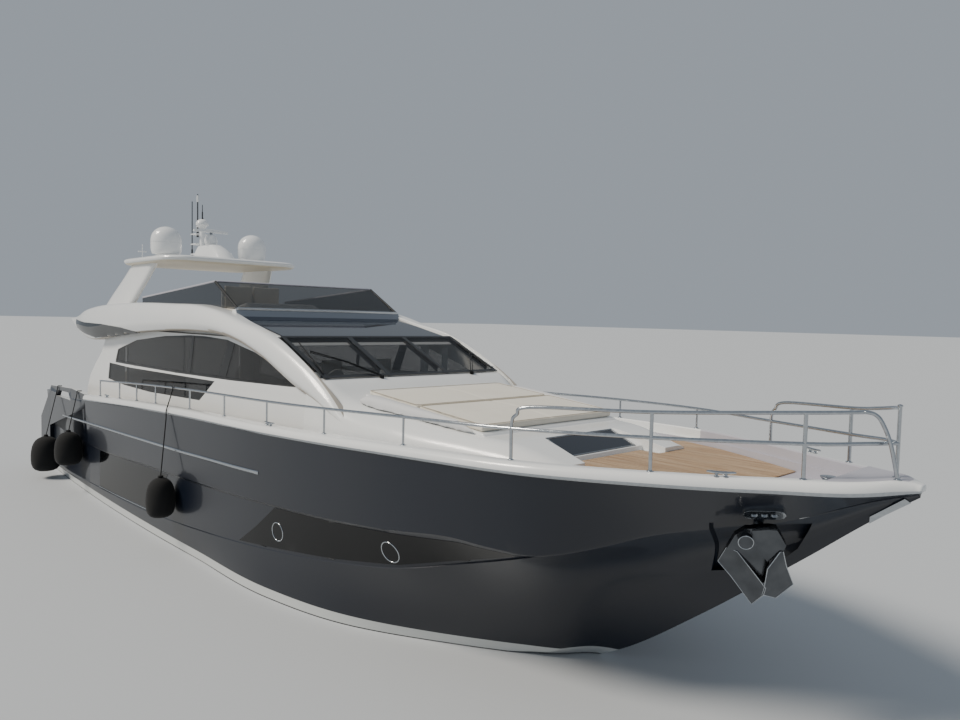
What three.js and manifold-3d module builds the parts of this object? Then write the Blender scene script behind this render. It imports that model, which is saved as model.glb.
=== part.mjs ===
// Flybridge motor yacht, 26 m long, afloat.
// Millimetres. +X forward, +Y to port, +Z up. Origin amidships on the centreline at the waterline.
import * as THREE from 'three';
import { mergeVertices } from 'three/addons/utils/BufferGeometryUtils.js';
import Module from 'manifold-3d';

const wasm = await Module();
wasm.setup();

// Driving dimensions
const LENGTH = 26000;
const BOW_X = LENGTH / 2;
const PLATFORM_AFT_X = -LENGTH / 2;
const TRANSOM_X = -12200;
const GAP = 0.4;
const MAIN_DECK_Z = 2450;
const FOREDECK_Z = 3180;
const BULWARK_THICK = 130;
const CAP_HEIGHT = 170;
const TEAK_THICK = 18;
const WALL = 80;
const HOUSE_HALF = 2430;
const FLY_DECK_Z = 4950;
const RAIL_RADIUS = 24;
const GLASS_THICK = 24;

// Colours
const paint = (color, roughness, metalness) =>
  new THREE.MeshStandardMaterial({ color, roughness, metalness });
const FINISH = {
  hull: () => paint(0x1d2126, 0.25, 0.45),
  white: () => paint(0xe9eaea, 0.25, 0.0),
  grey: () => paint(0xb9b8bd, 0.5, 0.0),
  teak: () => paint(0xa9794d, 0.7, 0.0),
  fabric: () => paint(0xd9d2c2, 0.9, 0.0),
  leather: () => paint(0xe6e0d4, 0.6, 0.0),
  glass: () => paint(0x10161f, 0.06, 0.0),
  steel: () => paint(0xc9ccce, 0.18, 1.0),
  bronze: () => paint(0xa5793c, 0.35, 1.0),
  rubber: () => paint(0x0e0f11, 0.6, 0.0),
  dark: () => paint(0x15171a, 0.4, 0.0),
};

// Solids
function toSolid(geometry) {
  const bare = geometry.clone();
  bare.deleteAttribute('normal');
  bare.deleteAttribute('uv');
  const merged = mergeVertices(bare, 1e-3);
  return new wasm.Manifold(new wasm.Mesh({
    numProp: 3,
    vertProperties: new Float32Array(merged.attributes.position.array),
    triVerts: new Uint32Array(merged.index.array),
  }));
}

function toGeometry(solid) {
  const { vertProperties, triVerts } = solid.getMesh();
  const geometry = new THREE.BufferGeometry();
  geometry.setAttribute('position', new THREE.BufferAttribute(vertProperties, 3));
  geometry.setIndex(new THREE.BufferAttribute(triVerts, 1));
  return geometry;
}

const join = (...solids) => solids.reduce((a, b) => a.add(b));
const cut = (solid, ...tools) => tools.reduce((a, b) => a.subtract(b), solid);
const common = (a, b) => a.intersect(b);

function box(x0, x1, y0, y1, z0, z1) {
  const geometry = new THREE.BoxGeometry(x1 - x0, y1 - y0, z1 - z0);
  geometry.translate((x0 + x1) / 2, (y0 + y1) / 2, (z0 + z1) / 2);
  return toSolid(geometry);
}

// Outline points are [x, z] for a prism along Y, [x, y] along Z, [y, z] along X.
const AXES = {
  y: [[1, 0, 0], [0, 0, 1], [0, -1, 0]],
  z: [[1, 0, 0], [0, 1, 0], [0, 0, 1]],
  x: [[0, 1, 0], [0, 0, 1], [1, 0, 0]],
};

function prism(axis, outline, from, to) {
  const shape = new THREE.Shape(outline.map(([u, v]) => new THREE.Vector2(u, v)));
  const geometry = new THREE.ExtrudeGeometry(shape, { depth: to - from, bevelEnabled: false });
  geometry.translate(0, 0, axis === 'y' ? -to : from);
  const [u, v, w] = AXES[axis].map((a) => new THREE.Vector3(...a));
  geometry.applyMatrix4(new THREE.Matrix4().makeBasis(u, v, w));
  return toSolid(geometry);
}

// The outline moved inwards by a constant distance, or outwards where it is negative.
function inset(outline, by) {
  const area = THREE.ShapeUtils.area(outline.map(([x, y]) => ({ x, y })));
  const side = area > 0 ? by : -by;
  return outline.map((p, i) => {
    const before = outline[(i + outline.length - 1) % outline.length];
    const after = outline[(i + 1) % outline.length];
    const [a, b] = [[before, p], [p, after]].map(([from, to]) => {
      const run = Math.hypot(to[0] - from[0], to[1] - from[1]);
      return [-(to[1] - from[1]) / run, (to[0] - from[0]) / run];
    });
    const spread = 1 + a[0] * b[0] + a[1] * b[1];
    return [p[0] + (side * (a[0] + b[0])) / spread, p[1] + (side * (a[1] + b[1])) / spread];
  });
}

// A closed body through rings of points that all have the same count.
function loft(rings) {
  const count = rings[0].length;
  const positions = rings.flat(2);
  const index = [];
  for (let r = 0; r < rings.length - 1; r++) {
    for (let i = 0; i < count; i++) {
      const a = r * count + i;
      const b = r * count + ((i + 1) % count);
      const [c, d] = [a + count, b + count];
      index.push(...(i < count / 2 ? [a, b, c, b, d, c] : [a, b, d, a, d, c]));
    }
  }
  const last = rings.length - 1;
  for (const [r, turn] of [[0, 0], [last, 1]]) {
    const hub = positions.length / 3;
    positions.push(...[0, 1, 2].map((k) => rings[r].reduce((sum, p) => sum + p[k] / count, 0)));
    for (let i = 0; i < count; i++) {
      const edge = [r * count + i, r * count + ((i + 1) % count)];
      index.push(edge[1 - turn], edge[turn], hub);
    }
  }
  const geometry = new THREE.BufferGeometry();
  geometry.setAttribute('position', new THREE.Float32BufferAttribute(positions, 3));
  geometry.setIndex(index);
  return toSolid(outward(geometry));
}

function outward(geometry) {
  const p = geometry.attributes.position;
  const index = geometry.index.array;
  const [a, b, c] = [new THREE.Vector3(), new THREE.Vector3(), new THREE.Vector3()];
  let volume = 0;
  for (let i = 0; i < index.length; i += 3) {
    a.fromBufferAttribute(p, index[i]);
    b.fromBufferAttribute(p, index[i + 1]);
    c.fromBufferAttribute(p, index[i + 2]);
    volume += a.dot(b.cross(c));
  }
  if (volume < 0) {
    for (let i = 0; i < index.length; i += 3) [index[i], index[i + 1]] = [index[i + 1], index[i]];
  }
  return geometry;
}

function tube(points, radius, steps = 24, sides = 8) {
  const path = new THREE.CatmullRomCurve3(points.map((p) => new THREE.Vector3(...p)), false, 'centripetal');
  const ring = [];
  for (let i = 0; i < sides; i++) {
    const turn = (2 * Math.PI * i) / sides;
    ring.push(new THREE.Vector2(radius * Math.cos(turn), radius * Math.sin(turn)));
  }
  return toSolid(new THREE.ExtrudeGeometry(new THREE.Shape(ring), { steps, extrudePath: path }));
}

const rod = (from, to, radius, sides = 8) => tube([from, to], radius, 1, sides);

function lathe(profile, segments = 20) {
  const geometry = new THREE.LatheGeometry(profile.map(([r, h]) => new THREE.Vector2(r, h)), segments);
  geometry.rotateX(Math.PI / 2);
  return toSolid(geometry);
}

const mirror = (solid) => solid.mirror([0, 1, 0]);

const yacht = new THREE.Group();

function piece(name, solid, material, at = [0, 0, 0], turn = [0, 0, 0]) {
  const mesh = new THREE.Mesh(toGeometry(solid), material);
  mesh.name = name;
  mesh.position.set(...at);
  mesh.rotation.set(...turn);
  yacht.add(mesh);
  return mesh;
}

function pair(name, solid, material) {
  piece(`${name}_starboard`, solid, material());
  piece(`${name}_port`, mirror(solid), material());
}

// Hull: stations from the transom to the stem head.
// x, keel z, chine y z, flare y z, lower knuckle y z, upper knuckle y z, sheer y z
const STATIONS = [
  [TRANSOM_X, -620, 2640, -60, 2700, 120, 2760, 340, 2800, 1600, 2860, 2640],
  [-9000, -820, 2830, -90, 2850, 120, 2890, 330, 2930, 1510, 3000, 2660],
  [-6000, -960, 2940, -90, 2950, 150, 2960, 385, 2990, 1490, 3075, 2800],
  [-3000, -1070, 2980, -60, 2985, 200, 2995, 470, 3025, 1620, 3110, 2950],
  [0, -1120, 2940, 10, 2965, 330, 2990, 660, 3040, 1715, 3120, 3060],
  [3000, -1090, 2870, -40, 2885, 450, 2900, 930, 2985, 1835, 3095, 3120],
  [5000, -960, 2430, -20, 2540, 560, 2700, 1150, 2865, 1935, 3000, 3175],
  [6500, -720, 1700, 20, 2040, 700, 2470, 1390, 2720, 2050, 2885, 3225],
  [7800, -330, 920, 60, 1420, 860, 2170, 1740, 2510, 2180, 2715, 3255],
  [8300, -115, 660, 200, 1260, 1200, 2130, 1950, 2350, 2165, 2620, 3265],
  [8900, 190, 620, 1130, 1130, 1660, 2080, 2090, 2170, 2150, 2500, 3275],
  [10300, 1200, 330, 1830, 620, 2200, 1190, 2560, 1260, 2620, 1890, 3300],
  [11700, 2350, 150, 2600, 280, 2760, 560, 2930, 600, 2960, 1070, 3335],
  [12600, 3105, 50, 3190, 90, 3235, 170, 3290, 190, 3305, 460, 3380],
  [12960, 3370, 10, 3385, 15, 3392, 22, 3402, 25, 3408, 70, 3430],
];
const KNUCKLE_STEP = 55;
const KNUCKLE_TIP_X = 8900;

// Rows that start with x, resampled at other x along a smooth curve through them.
function smooth(rows, xs) {
  const secant = (k, c) => (rows[k + 1][c] - rows[k][c]) / (rows[k + 1][0] - rows[k][0]);
  const slope = (k, c) => {
    if (k === 0) return secant(0, c);
    if (k === rows.length - 1) return secant(k - 1, c);
    const [before, after] = [rows[k][0] - rows[k - 1][0], rows[k + 1][0] - rows[k][0]];
    return (secant(k - 1, c) * after + secant(k, c) * before) / (before + after);
  };
  return xs.map((x) => {
    let k = 0;
    while (k < rows.length - 2 && rows[k + 1][0] < x) k++;
    const run = rows[k + 1][0] - rows[k][0];
    const t = (x - rows[k][0]) / run;
    return rows[k].map((value, c) => {
      if (c === 0) return x;
      const ease = t * t * (3 - 2 * t);
      return value * (1 - ease) + rows[k + 1][c] * ease
        + run * t * (1 - t) * (slope(k, c) * (1 - t) - slope(k + 1, c) * t);
    });
  });
}
const spread = (from, to, count, power = 1) => Array.from({ length: count }, (_, i) =>
  from + (to - from) * (1 - (1 - i / (count - 1)) ** power));

const HULL = smooth(STATIONS, spread(TRANSOM_X, STATIONS[STATIONS.length - 1][0], 34, 1.5));
const SHEER = HULL.map((s) => [s[0], s[10], s[11]]);

function along(table, x, column) {
  let i = 1;
  while (i < table.length - 1 && table[i][0] < x) i++;
  const [a, b] = [table[i - 1], table[i]];
  return a[column] + ((x - a[0]) / (b[0] - a[0])) * (b[column] - a[column]);
}
const sheerY = (x) => along(SHEER, x, 1);
const sheerZ = (x) => along(SHEER, x, 2);

// The band between the knuckles is set in by KNUCKLE_STEP; inset narrows the whole section.
function hullLoft(inset = 0, least = 2) {
  return loft(HULL.map(([x, keelZ, chineY, chineZ, flareY, flareZ, lowY, lowZ, highY, highZ, topY,
    topZ]) => {
    const step = x < KNUCKLE_TIP_X ? KNUCKLE_STEP : 4;
    const half = [
      [chineY, chineZ], [flareY, flareZ], [lowY, lowZ], [lowY - 12, lowZ + 14],
      [highY - step, highZ - step], [highY, highZ], [topY, topZ],
    ].map(([y, z]) => [Math.max(y - inset, Math.min(y, least)), z]);
    const port = half.map(([y, z]) => [x, y, z]);
    const starboard = half.map(([y, z]) => [x, -y, z]).reverse();
    return [[x, 0, keelZ], ...port, [x, 0, topZ], ...starboard];
  }));
}

const sheerXs = (from, to) =>
  [from, ...SHEER.map((s) => s[0]).filter((x) => x > from + 1 && x < to - 1), to];

// Half-breadth of the topsides between the upper knuckle and the sheer.
function sideY(x, z) {
  const row = HULL[0].map((_, c) => along(HULL, x, c));
  return row[8] + ((row[10] - row[8]) * (z - row[9])) / (row[11] - row[9]);
}

// A well sunk inside the bulwarks down to floorZ, its foot kept clear of the flare.
const SKIN = 60;
function deckWell(fromX, toX, floorZ, inset) {
  return loft(sheerXs(fromX, toX).map((x) => {
    const y = Math.max(sheerY(x) - inset, 20);
    const foot = Math.min(y, sideY(x, floorZ) - SKIN);
    const half = [[foot, floorZ], [y, Math.max(sheerZ(x), floorZ + 40) - 20], [y, 6000]];
    const port = half.map(([across, z]) => [x, across, z]);
    return [...half.map(([across, z]) => [x, -across, z]).reverse(), ...port];
  }));
}

const WELL_STEP_X = 3600;
const WELL_AFT_X = -11800;
const WELL_BOW_X = 12150;
const FORE_WELL_INSET = 240;
const mainWell = deckWell(WELL_AFT_X, WELL_STEP_X, MAIN_DECK_Z, BULWARK_THICK);
const foreWell = deckWell(WELL_STEP_X - 1, WELL_BOW_X, FOREDECK_Z, FORE_WELL_INSET);

// Hull windows lie flush in the band between the knuckles.
const BOW_WINDOW = [[2000, 880], [2650, 1290], [3350, 1790], [5000, 1880], [6500, 1985], [7800, 2105],
  [8780, 2090], [7800, 1800], [6500, 1450], [5000, 1215], [3000, 990]];
const AFT_WINDOW = [[-6500, 420], [-6500, 1420], [-3000, 1545], [-1500, 1590], [-2300, 545]];
const PANE = 40;
const fullHull = hullLoft();
const innerHull = hullLoft(PANE);
const innerHullDeep = hullLoft(PANE + GAP);

// Anchor pocket in the starboard bow flare
const POCKET = [[10560, 1950], [10900, 2815], [11880, 2890], [11640, 2480], [11280, 2120]];
const pocketHull = hullLoft(110, 60);

// Transom: stairs on each side, and the garage opening between them
const PLATFORM_Z = 560;
const STEPS = 7;
const STAIR_AFT_X = TRANSOM_X;
const STAIR_FORE_X = -10400;
const STAIR_IN_Y = 1500;
const STAIR_OUT_Y = 2560;
function stairWell(inY, outY) {
  const run = (STAIR_FORE_X - STAIR_AFT_X) / (STEPS - 1);
  const rise = (MAIN_DECK_Z - PLATFORM_Z) / STEPS;
  const outline = [[STAIR_AFT_X - 900, 6000], [STAIR_AFT_X - 900, PLATFORM_Z]];
  for (let i = 0; i < STEPS; i++) {
    outline.push([STAIR_AFT_X + run * i, PLATFORM_Z + rise * i]);
    outline.push([STAIR_AFT_X + run * i, PLATFORM_Z + rise * (i + 1)]);
  }
  outline.push([STAIR_FORE_X, 6000]);
  return prism('y', outline, inY, outY);
}
const GARAGE = { halfWidth: 1250, bottomZ: 740, topZ: 2080, deep: 1500 };

const CAP_AFT_X = -7500;

// Side wings carry the topsides aft past the transom and slope up to the coaming.
const WING = [[TRANSOM_X + 400, 300], [-12850, 420], [-12990, 900], [-12980, 1680], [-12200, 2310],
  [-11600, 2830], [-8900, 2950], [CAP_AFT_X - GAP, 2900], [CAP_AFT_X - GAP, 2500], [TRANSOM_X + 400, 1500]];
const wingTrim = loft([-13100, -11600, -9000, -7500].map((x) => {
  const y = Math.min(sheerY(Math.max(x, TRANSOM_X)) - 2, 3040);
  return [[x, -y, 100], [x, -y + BULWARK_THICK, 100], [x, -y + BULWARK_THICK, 3200], [x, -y, 3200]];
}));
const wingBody = common(prism('y', WING, -3100, -2400), wingTrim);
const wingSlot = prism('y', [[-10900, 2560], [-10650, 2760], [-9300, 2790], [-9050, 2580]], -3200, -2600);

let hull = cut(fullHull, mainWell, foreWell);
hull = cut(hull, stairWell(STAIR_IN_Y, STAIR_OUT_Y), stairWell(-STAIR_OUT_Y, -STAIR_IN_Y));
hull = cut(hull, box(TRANSOM_X - 10, TRANSOM_X + GARAGE.deep, -GARAGE.halfWidth, GARAGE.halfWidth,
  GARAGE.bottomZ, GARAGE.topZ));
hull = cut(join(hull, wingBody, mirror(wingBody)), wingSlot, mirror(wingSlot));
for (const side of [-1, 1]) {
  const [from, to] = side < 0 ? [-3300, -60] : [60, 3300];
  hull = cut(hull, cut(prism('y', BOW_WINDOW, from, to), innerHullDeep));
  hull = cut(hull, cut(prism('y', AFT_WINDOW, from, to), innerHullDeep));
}
hull = cut(hull, cut(prism('y', POCKET, -3300, -60), pocketHull));
piece('hull', hull, FINISH.hull());
for (const [name, outline] of [['hull_window_bow', BOW_WINDOW], ['hull_window_aft', AFT_WINDOW]]) {
  const slab = common(prism('y', inset(outline, GAP), -3300, -60), fullHull);
  pair(name, cut(slab, innerHull), FINISH.glass);
}

// White cap on the bulwark, all round from the cockpit to the stem head
const CAP_OUT = 40;
const CAP_IN = 200;
const NOSE_X = SHEER[SHEER.length - 1][0];
const DROOP_X = 12700;
const droop = (x) => 1 - 0.4 * (Math.max(x - DROOP_X, 0) / (NOSE_X - DROOP_X)) ** 1.5;
function capRing(x) {
  const [y, z] = [sheerY(x), sheerZ(x) + GAP];
  const inner = Math.max(y - CAP_IN, -150);
  const outer = y + CAP_OUT;
  const high = CAP_HEIGHT * droop(x);
  return [[x, inner, z], [x, outer - 8, z], [x, outer, z + 20], [x, outer - 4, z + high * 0.41],
    [x, outer - 55, z + high * 0.88], [x, outer - 85, z + high], [x, inner, z + high]];
}
const NOSE = { midZ: sheerZ(NOSE_X) + 62, squash: 0.4, shrink: 0.4 };
const capNose = capRing(NOSE_X).map(([, y, z]) =>
  [BOW_X, y * NOSE.shrink, NOSE.midZ + (z - NOSE.midZ) * NOSE.squash]);
const capPort = loft([...sheerXs(CAP_AFT_X, NOSE_X).map(capRing), capNose]);
const stemFill = loft(sheerXs(12150, 12900).map((x) => {
  const [y, z] = [Math.max(sheerY(x) - 90, 40), sheerZ(x) + GAP];
  const top = z + CAP_HEIGHT * droop(x) - 6;
  return [[x, -y, z], [x, y, z], [x, y, top], [x, -y, top]];
}));
const cap = join(capPort, mirror(capPort), stemFill);
const sheerCap = cut(cap, cut(foreWell, box(12150, 13100, -900, 900, 3000, 6100)));
piece('sheer_cap', sheerCap, FINISH.white());

// Decks of teak planking
function deckOutline(xs, edge) {
  const port = xs.map((x) => [x, sheerY(x) - edge]);
  return [...port, ...port.map(([x, y]) => [x, -y]).reverse()];
}
const teak = (xs, edge, deckZ) => prism('z', deckOutline(xs, edge), deckZ + GAP, deckZ + GAP + TEAK_THICK);
const teakFore = teak(sheerXs(8200, 11000 - 2 * GAP), FORE_WELL_INSET + 15, FOREDECK_Z);
const teakMain = teak(sheerXs(WELL_AFT_X + 150, WELL_STEP_X - 60), BULWARK_THICK + 40, MAIN_DECK_Z);
const HOUSE_AFT_X = -7900;
const HOUSE_FOOT = box(HOUSE_AFT_X - 5, 3600, -HOUSE_HALF - 5, HOUSE_HALF + 5, 2400, 2600);
const stairHoles = [stairWell(STAIR_IN_Y - 5, STAIR_OUT_Y + 5),
  stairWell(-STAIR_OUT_Y - 5, -STAIR_IN_Y + 5)];
piece('teak_main_deck', cut(teakMain, HOUSE_FOOT, ...stairHoles), FINISH.teak());

// Swim platform and garage door
const platform = prism('z', [[TRANSOM_X - GAP, 2500], [-12700, 2500], [PLATFORM_AFT_X, 2200],
  [PLATFORM_AFT_X, -2200], [-12700, -2500], [TRANSOM_X - GAP, -2500]], 400, PLATFORM_Z);
piece('swim_platform', platform, FINISH.teak());
const DOOR_CLEAR = 8;
const garageDoor = box(TRANSOM_X + 4, TRANSOM_X + 64, -GARAGE.halfWidth + DOOR_CLEAR,
  GARAGE.halfWidth - DOOR_CLEAR, GARAGE.bottomZ + DOOR_CLEAR, GARAGE.topZ - DOOR_CLEAR);
const GARAGE_HINGE = [TRANSOM_X + 4, GARAGE.topZ - DOOR_CLEAR];
const PIN_LONG = 40;
const garagePins = [[-GARAGE.halfWidth + GAP, PIN_LONG - GARAGE.halfWidth],
  [GARAGE.halfWidth - PIN_LONG, GARAGE.halfWidth - GAP]].map(([from, to]) =>
  rod([GARAGE_HINGE[0], from, GARAGE_HINGE[1]], [GARAGE_HINGE[0], to, GARAGE_HINGE[1]], 6));
piece('garage_door', join(garageDoor, ...garagePins), FINISH.hull());

// Coachroof ahead of the windscreen, open between its two horns for the skylight.
// x, top half-breadth z, shoulder half-breadth z, foot half-breadth
const COACHROOF = [
  [WELL_STEP_X + 1, 2300, 4145, 2440, 3960, 2500],
  [3870, 2280, 4130, 2430, 3935, 2490],
  [4450, 2120, 3850, 2390, 3660, 2465],
  [6000, 1960, 3650, 2240, 3460, 2330],
  [7500, 1760, 3520, 1960, 3380, 2040],
  [7980, 1680, 3490, 1880, 3350, 1950],
  [8950, 1480, 3270, 1620, 3225, 1650],
];
const deckZ = (x) => Math.min(FOREDECK_Z, sheerZ(x)) + GAP;
const LEVEL_X = sheerXs(WELL_STEP_X, 8000).find((x) => sheerZ(x) > FOREDECK_Z);
const beforeLevel = SHEER.filter((s) => s[0] < LEVEL_X).pop();
const MEET_X = beforeLevel[0] + ((FOREDECK_Z - beforeLevel[2]) * (LEVEL_X - beforeLevel[0]))
  / (sheerZ(LEVEL_X) - beforeLevel[2]);
const coachXs = [...sheerXs(WELL_STEP_X + 1, 8950), 3870, 4450, MEET_X].sort((a, b) => a - b);
const COACH = smooth(COACHROOF, coachXs);
const roofRing = (drop) => ([x, topY, topZ, midY, midZ, footY]) => {
  const half = [[footY, deckZ(x)], [midY, midZ - drop], [topY, topZ - drop]];
  return [...half.map(([y, z]) => [x, y, z]), ...half.map(([y, z]) => [x, -y, z]).reverse()];
};
const SKYLIGHT = { aftX: 7980, aftZ: 3490, foreX: 8540, foreZ: 3260, half: 840 };
const skySlope = (x, by) => [x, SKYLIGHT.aftZ + by
  + ((x - SKYLIGHT.aftX) * (SKYLIGHT.foreZ - SKYLIGHT.aftZ)) / (SKYLIGHT.foreX - SKYLIGHT.aftX)];
const RECESS_HALF = { aft: 885, fore: 1050 };
const recess = common(
  prism('y', [[7900, 3700], skySlope(7900, 0), skySlope(SKYLIGHT.foreX, 0), [8570, FOREDECK_Z - 50],
    [9200, FOREDECK_Z - 50], [9200, 3700]], -1200, 1200),
  prism('z', [[7900, -RECESS_HALF.aft], [8950, -RECESS_HALF.fore], [9200, -RECESS_HALF.fore],
    [9200, RECESS_HALF.fore], [8950, RECESS_HALF.fore], [7900, RECESS_HALF.aft]], 3000, 3800));
const skyPocket = prism('y', [skySlope(8000, -27), skySlope(8520, -27), skySlope(8520, 300),
  skySlope(8000, 300)], -SKYLIGHT.half, SKYLIGHT.half);
const plinth = prism('y', [[4380, 3500], [4380, 3890], [7470, 3560], [7640, 3400], [7300, 3300]],
  -1690, 1690);
const coachroof = cut(join(loft(COACH.map(roofRing(0))), plinth), recess, skyPocket);
piece('coachroof', coachroof, FINISH.white());
const CLEAR = 6;
const footEdge = COACH.map((row, i) => [row[0] + (i === COACH.length - 1 ? CLEAR : 0), row[5] + CLEAR]);
const coachFoot = prism('z', [...footEdge, ...footEdge.map(([x, y]) => [x, -y]).reverse()], 2900, 3400);
const stepInto = box(8570 + CLEAR, 9300, -RECESS_HALF.aft, RECESS_HALF.aft, 2800, 3400);
piece('teak_foredeck', cut(teakFore, cut(coachFoot, stepInto)), FINISH.teak());
const [paneAft, paneFore] = [8000 + GAP, 8520 - GAP];
const skylight = prism('y', [skySlope(paneAft, GAP - 27), skySlope(paneFore, GAP - 27),
  skySlope(paneFore, -2), skySlope(paneAft, -2)], -SKYLIGHT.half + GAP, SKYLIGHT.half - GAP);
piece('skylight', skylight, FINISH.glass());

// Sun pads on the plinth, with a bolster along each side
const PAD_HALF = 1660;
const padTop = (x) => 3975 - ((x - 4420) * 280) / 3000;
const padFoot = (x) => 3890 - ((x - 4380) * 330) / 3090 + GAP;
const pad = (from, to) => prism('y', [[from, padFoot(from)], [to, padFoot(to)],
  [to, padTop(to) - 60], [to - 60, padTop(to)], [from + 40, padTop(from + 40)], [from, padTop(from) - 30]],
  -PAD_HALF, PAD_HALF);
piece('sunpad_rear', pad(4420, 5850), FINISH.fabric());
piece('sunpad_front', pad(5856, 7440), FINISH.fabric());
const bolsterXs = [4640, ...coachXs.filter((x) => x > 4700 && x < 7300), 7340];
const bolster = loft(bolsterXs.map((x) => {
  const [foot, outY] = [along(COACH, x, 2) + GAP, along(COACH, x, 1) - 12];
  const rise = (padTop(x) - foot) * (x < bolsterXs[1] ? 0.7 : 1);
  const inY = 1704;
  return [[x, -inY, foot], [x, -inY, foot + rise], [x, -inY - (outY - inY) * 0.45, foot + rise + 4],
    [x, -outY + (outY - inY) * 0.2, foot + rise * 0.72], [x, -outY, foot]];
}));
pair('bolster', bolster, FINISH.fabric);

// Deckhouse: a hollow shell with its windows cut, leaning in towards the roof
const LEAN_FOOT_Z = 2450;
const LEAN = 0.000013;
const lean = (solid) => solid.warp((v) => {
  v[1] *= 1 - LEAN * Math.max(v[2] - LEAN_FOOT_Z, 0);
});
const SCREEN_FOOT = [3860, 4136];
const SCREEN_HEAD = [2240, 4860];
const SCREEN_HALF = 2230;
const screenZ = (x) => SCREEN_FOOT[1]
  + ((SCREEN_FOOT[0] - x) * (SCREEN_HEAD[1] - SCREEN_FOOT[1])) / (SCREEN_FOOT[0] - SCREEN_HEAD[0]);
const screenRun = Math.hypot(SCREEN_FOOT[0] - SCREEN_HEAD[0], SCREEN_HEAD[1] - SCREEN_FOOT[1]);
const SCREEN_NORMAL = [(SCREEN_HEAD[1] - SCREEN_FOOT[1]) / screenRun,
  (SCREEN_FOOT[0] - SCREEN_HEAD[0]) / screenRun];
const HOUSE_FRONT_X = WELL_STEP_X - GAP;
const HOUSE_TOP_Z = 4800;
const HOUSE_SIDE = [[HOUSE_AFT_X, MAIN_DECK_Z + GAP], [HOUSE_FRONT_X, MAIN_DECK_Z + GAP],
  [HOUSE_FRONT_X, screenZ(HOUSE_FRONT_X)], [2250, screenZ(2250)], [2150, HOUSE_TOP_Z],
  [HOUSE_AFT_X, HOUSE_TOP_Z]];
const MAIN_WINDOW = [[-6920, 3890], [-6740, 4220], [-5290, 4530], [-3350, 4700], [-1740, 4770], [-890, 4770],
  [200, 4730], [1470, 4520], [2590, 4215], [3250, 3950], [1000, 3925], [-2500, 3880], [-5300, 3885]];
const LOWER_WINDOW = [[-7420, 3800], [-5760, 3760], [-2300, 3790], [-380, 3790], [-1150, 3290],
  [-4250, 3215], [-6160, 3245], [-7500, 3330]];
const shellOuter = prism('y', HOUSE_SIDE, -HOUSE_HALF, HOUSE_HALF);
const shellInner = prism('y', inset(HOUSE_SIDE, WALL), -HOUSE_HALF + WALL, HOUSE_HALF - WALL);
const offScreen = (x, by) => [x + SCREEN_NORMAL[0] * by, screenZ(x) + SCREEN_NORMAL[1] * by];
const screenOpening = [offScreen(3480, -260), offScreen(3480, 200), offScreen(2350, 200),
  offScreen(2350, -260)];
const MULLION = 30;
const screenHoles = [[-2170, -760 - MULLION], [-760 + MULLION, 760 - MULLION], [760 + MULLION, 2170]]
  .map(([from, to]) => prism('y', screenOpening, from, to));
const sideHoles = [MAIN_WINDOW, LOWER_WINDOW].flatMap((outline) =>
  [prism('y', outline, -3000, -2000), prism('y', outline, 2000, 3000)]);
const AFT_DOOR = { halfWidth: 1850, bottomZ: MAIN_DECK_Z + 120, topZ: 4560 };
const aftHole = box(HOUSE_AFT_X - 100, HOUSE_AFT_X + 300, -AFT_DOOR.halfWidth, AFT_DOOR.halfWidth,
  AFT_DOOR.bottomZ, AFT_DOOR.topZ);
const floorHole = box(HOUSE_AFT_X + WALL, 3400, -HOUSE_HALF + WALL, HOUSE_HALF - WALL, 2400, 2700);
const TEAK_TOP_Z = MAIN_DECK_Z + GAP + TEAK_THICK + GAP;
const AFT_WING = [[HOUSE_AFT_X + 10, TEAK_TOP_Z], [-9380, TEAK_TOP_Z],
  [-9400, 2900], [-9150, 3330], [-8700, 3700], [-8150, 4080], [HOUSE_AFT_X + 10, 4400]];
const aftWing = prism('y', AFT_WING, -HOUSE_HALF, -HOUSE_HALF + WALL);
const shell = cut(shellOuter, shellInner, ...sideHoles, ...screenHoles, aftHole, floorHole);
const house = join(shell, aftWing, mirror(aftWing));
piece('deckhouse', lean(house), FINISH.white());
for (const [name, outline] of [['side_window', MAIN_WINDOW], ['low_window', LOWER_WINDOW]]) {
  pair(name, lean(prism('y', inset(outline, GAP), -HOUSE_HALF + 20, -HOUSE_HALF + 20 + GLASS_THICK)),
    FINISH.glass);
}

piece('windscreen', prism('y', [offScreen(SCREEN_FOOT[0], GAP), offScreen(SCREEN_FOOT[0], GLASS_THICK),
  offScreen(SCREEN_HEAD[0], GLASS_THICK), offScreen(SCREEN_HEAD[0], GAP)], -SCREEN_HALF, SCREEN_HALF),
  FINISH.glass());
const aftGlass = box(HOUSE_AFT_X + 52, HOUSE_AFT_X + 76, -20, 1770, AFT_DOOR.bottomZ + GAP,
  AFT_DOOR.topZ - GAP);
piece('aft_glass', aftGlass, FINISH.glass());
const aftDoor = box(HOUSE_AFT_X + 8, HOUSE_AFT_X + 38, -1762, 0, AFT_DOOR.bottomZ + DOOR_CLEAR,
  AFT_DOOR.topZ - DOOR_CLEAR);
const doorRunners = [[-1700, -1560], [-300, -160]].map(([from, to]) =>
  box(HOUSE_AFT_X + 15, HOUSE_AFT_X + 31, from, to, AFT_DOOR.bottomZ + GAP,
    AFT_DOOR.bottomZ + DOOR_CLEAR + 4));
piece('aft_door', join(aftDoor, ...doorRunners), FINISH.glass());

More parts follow.
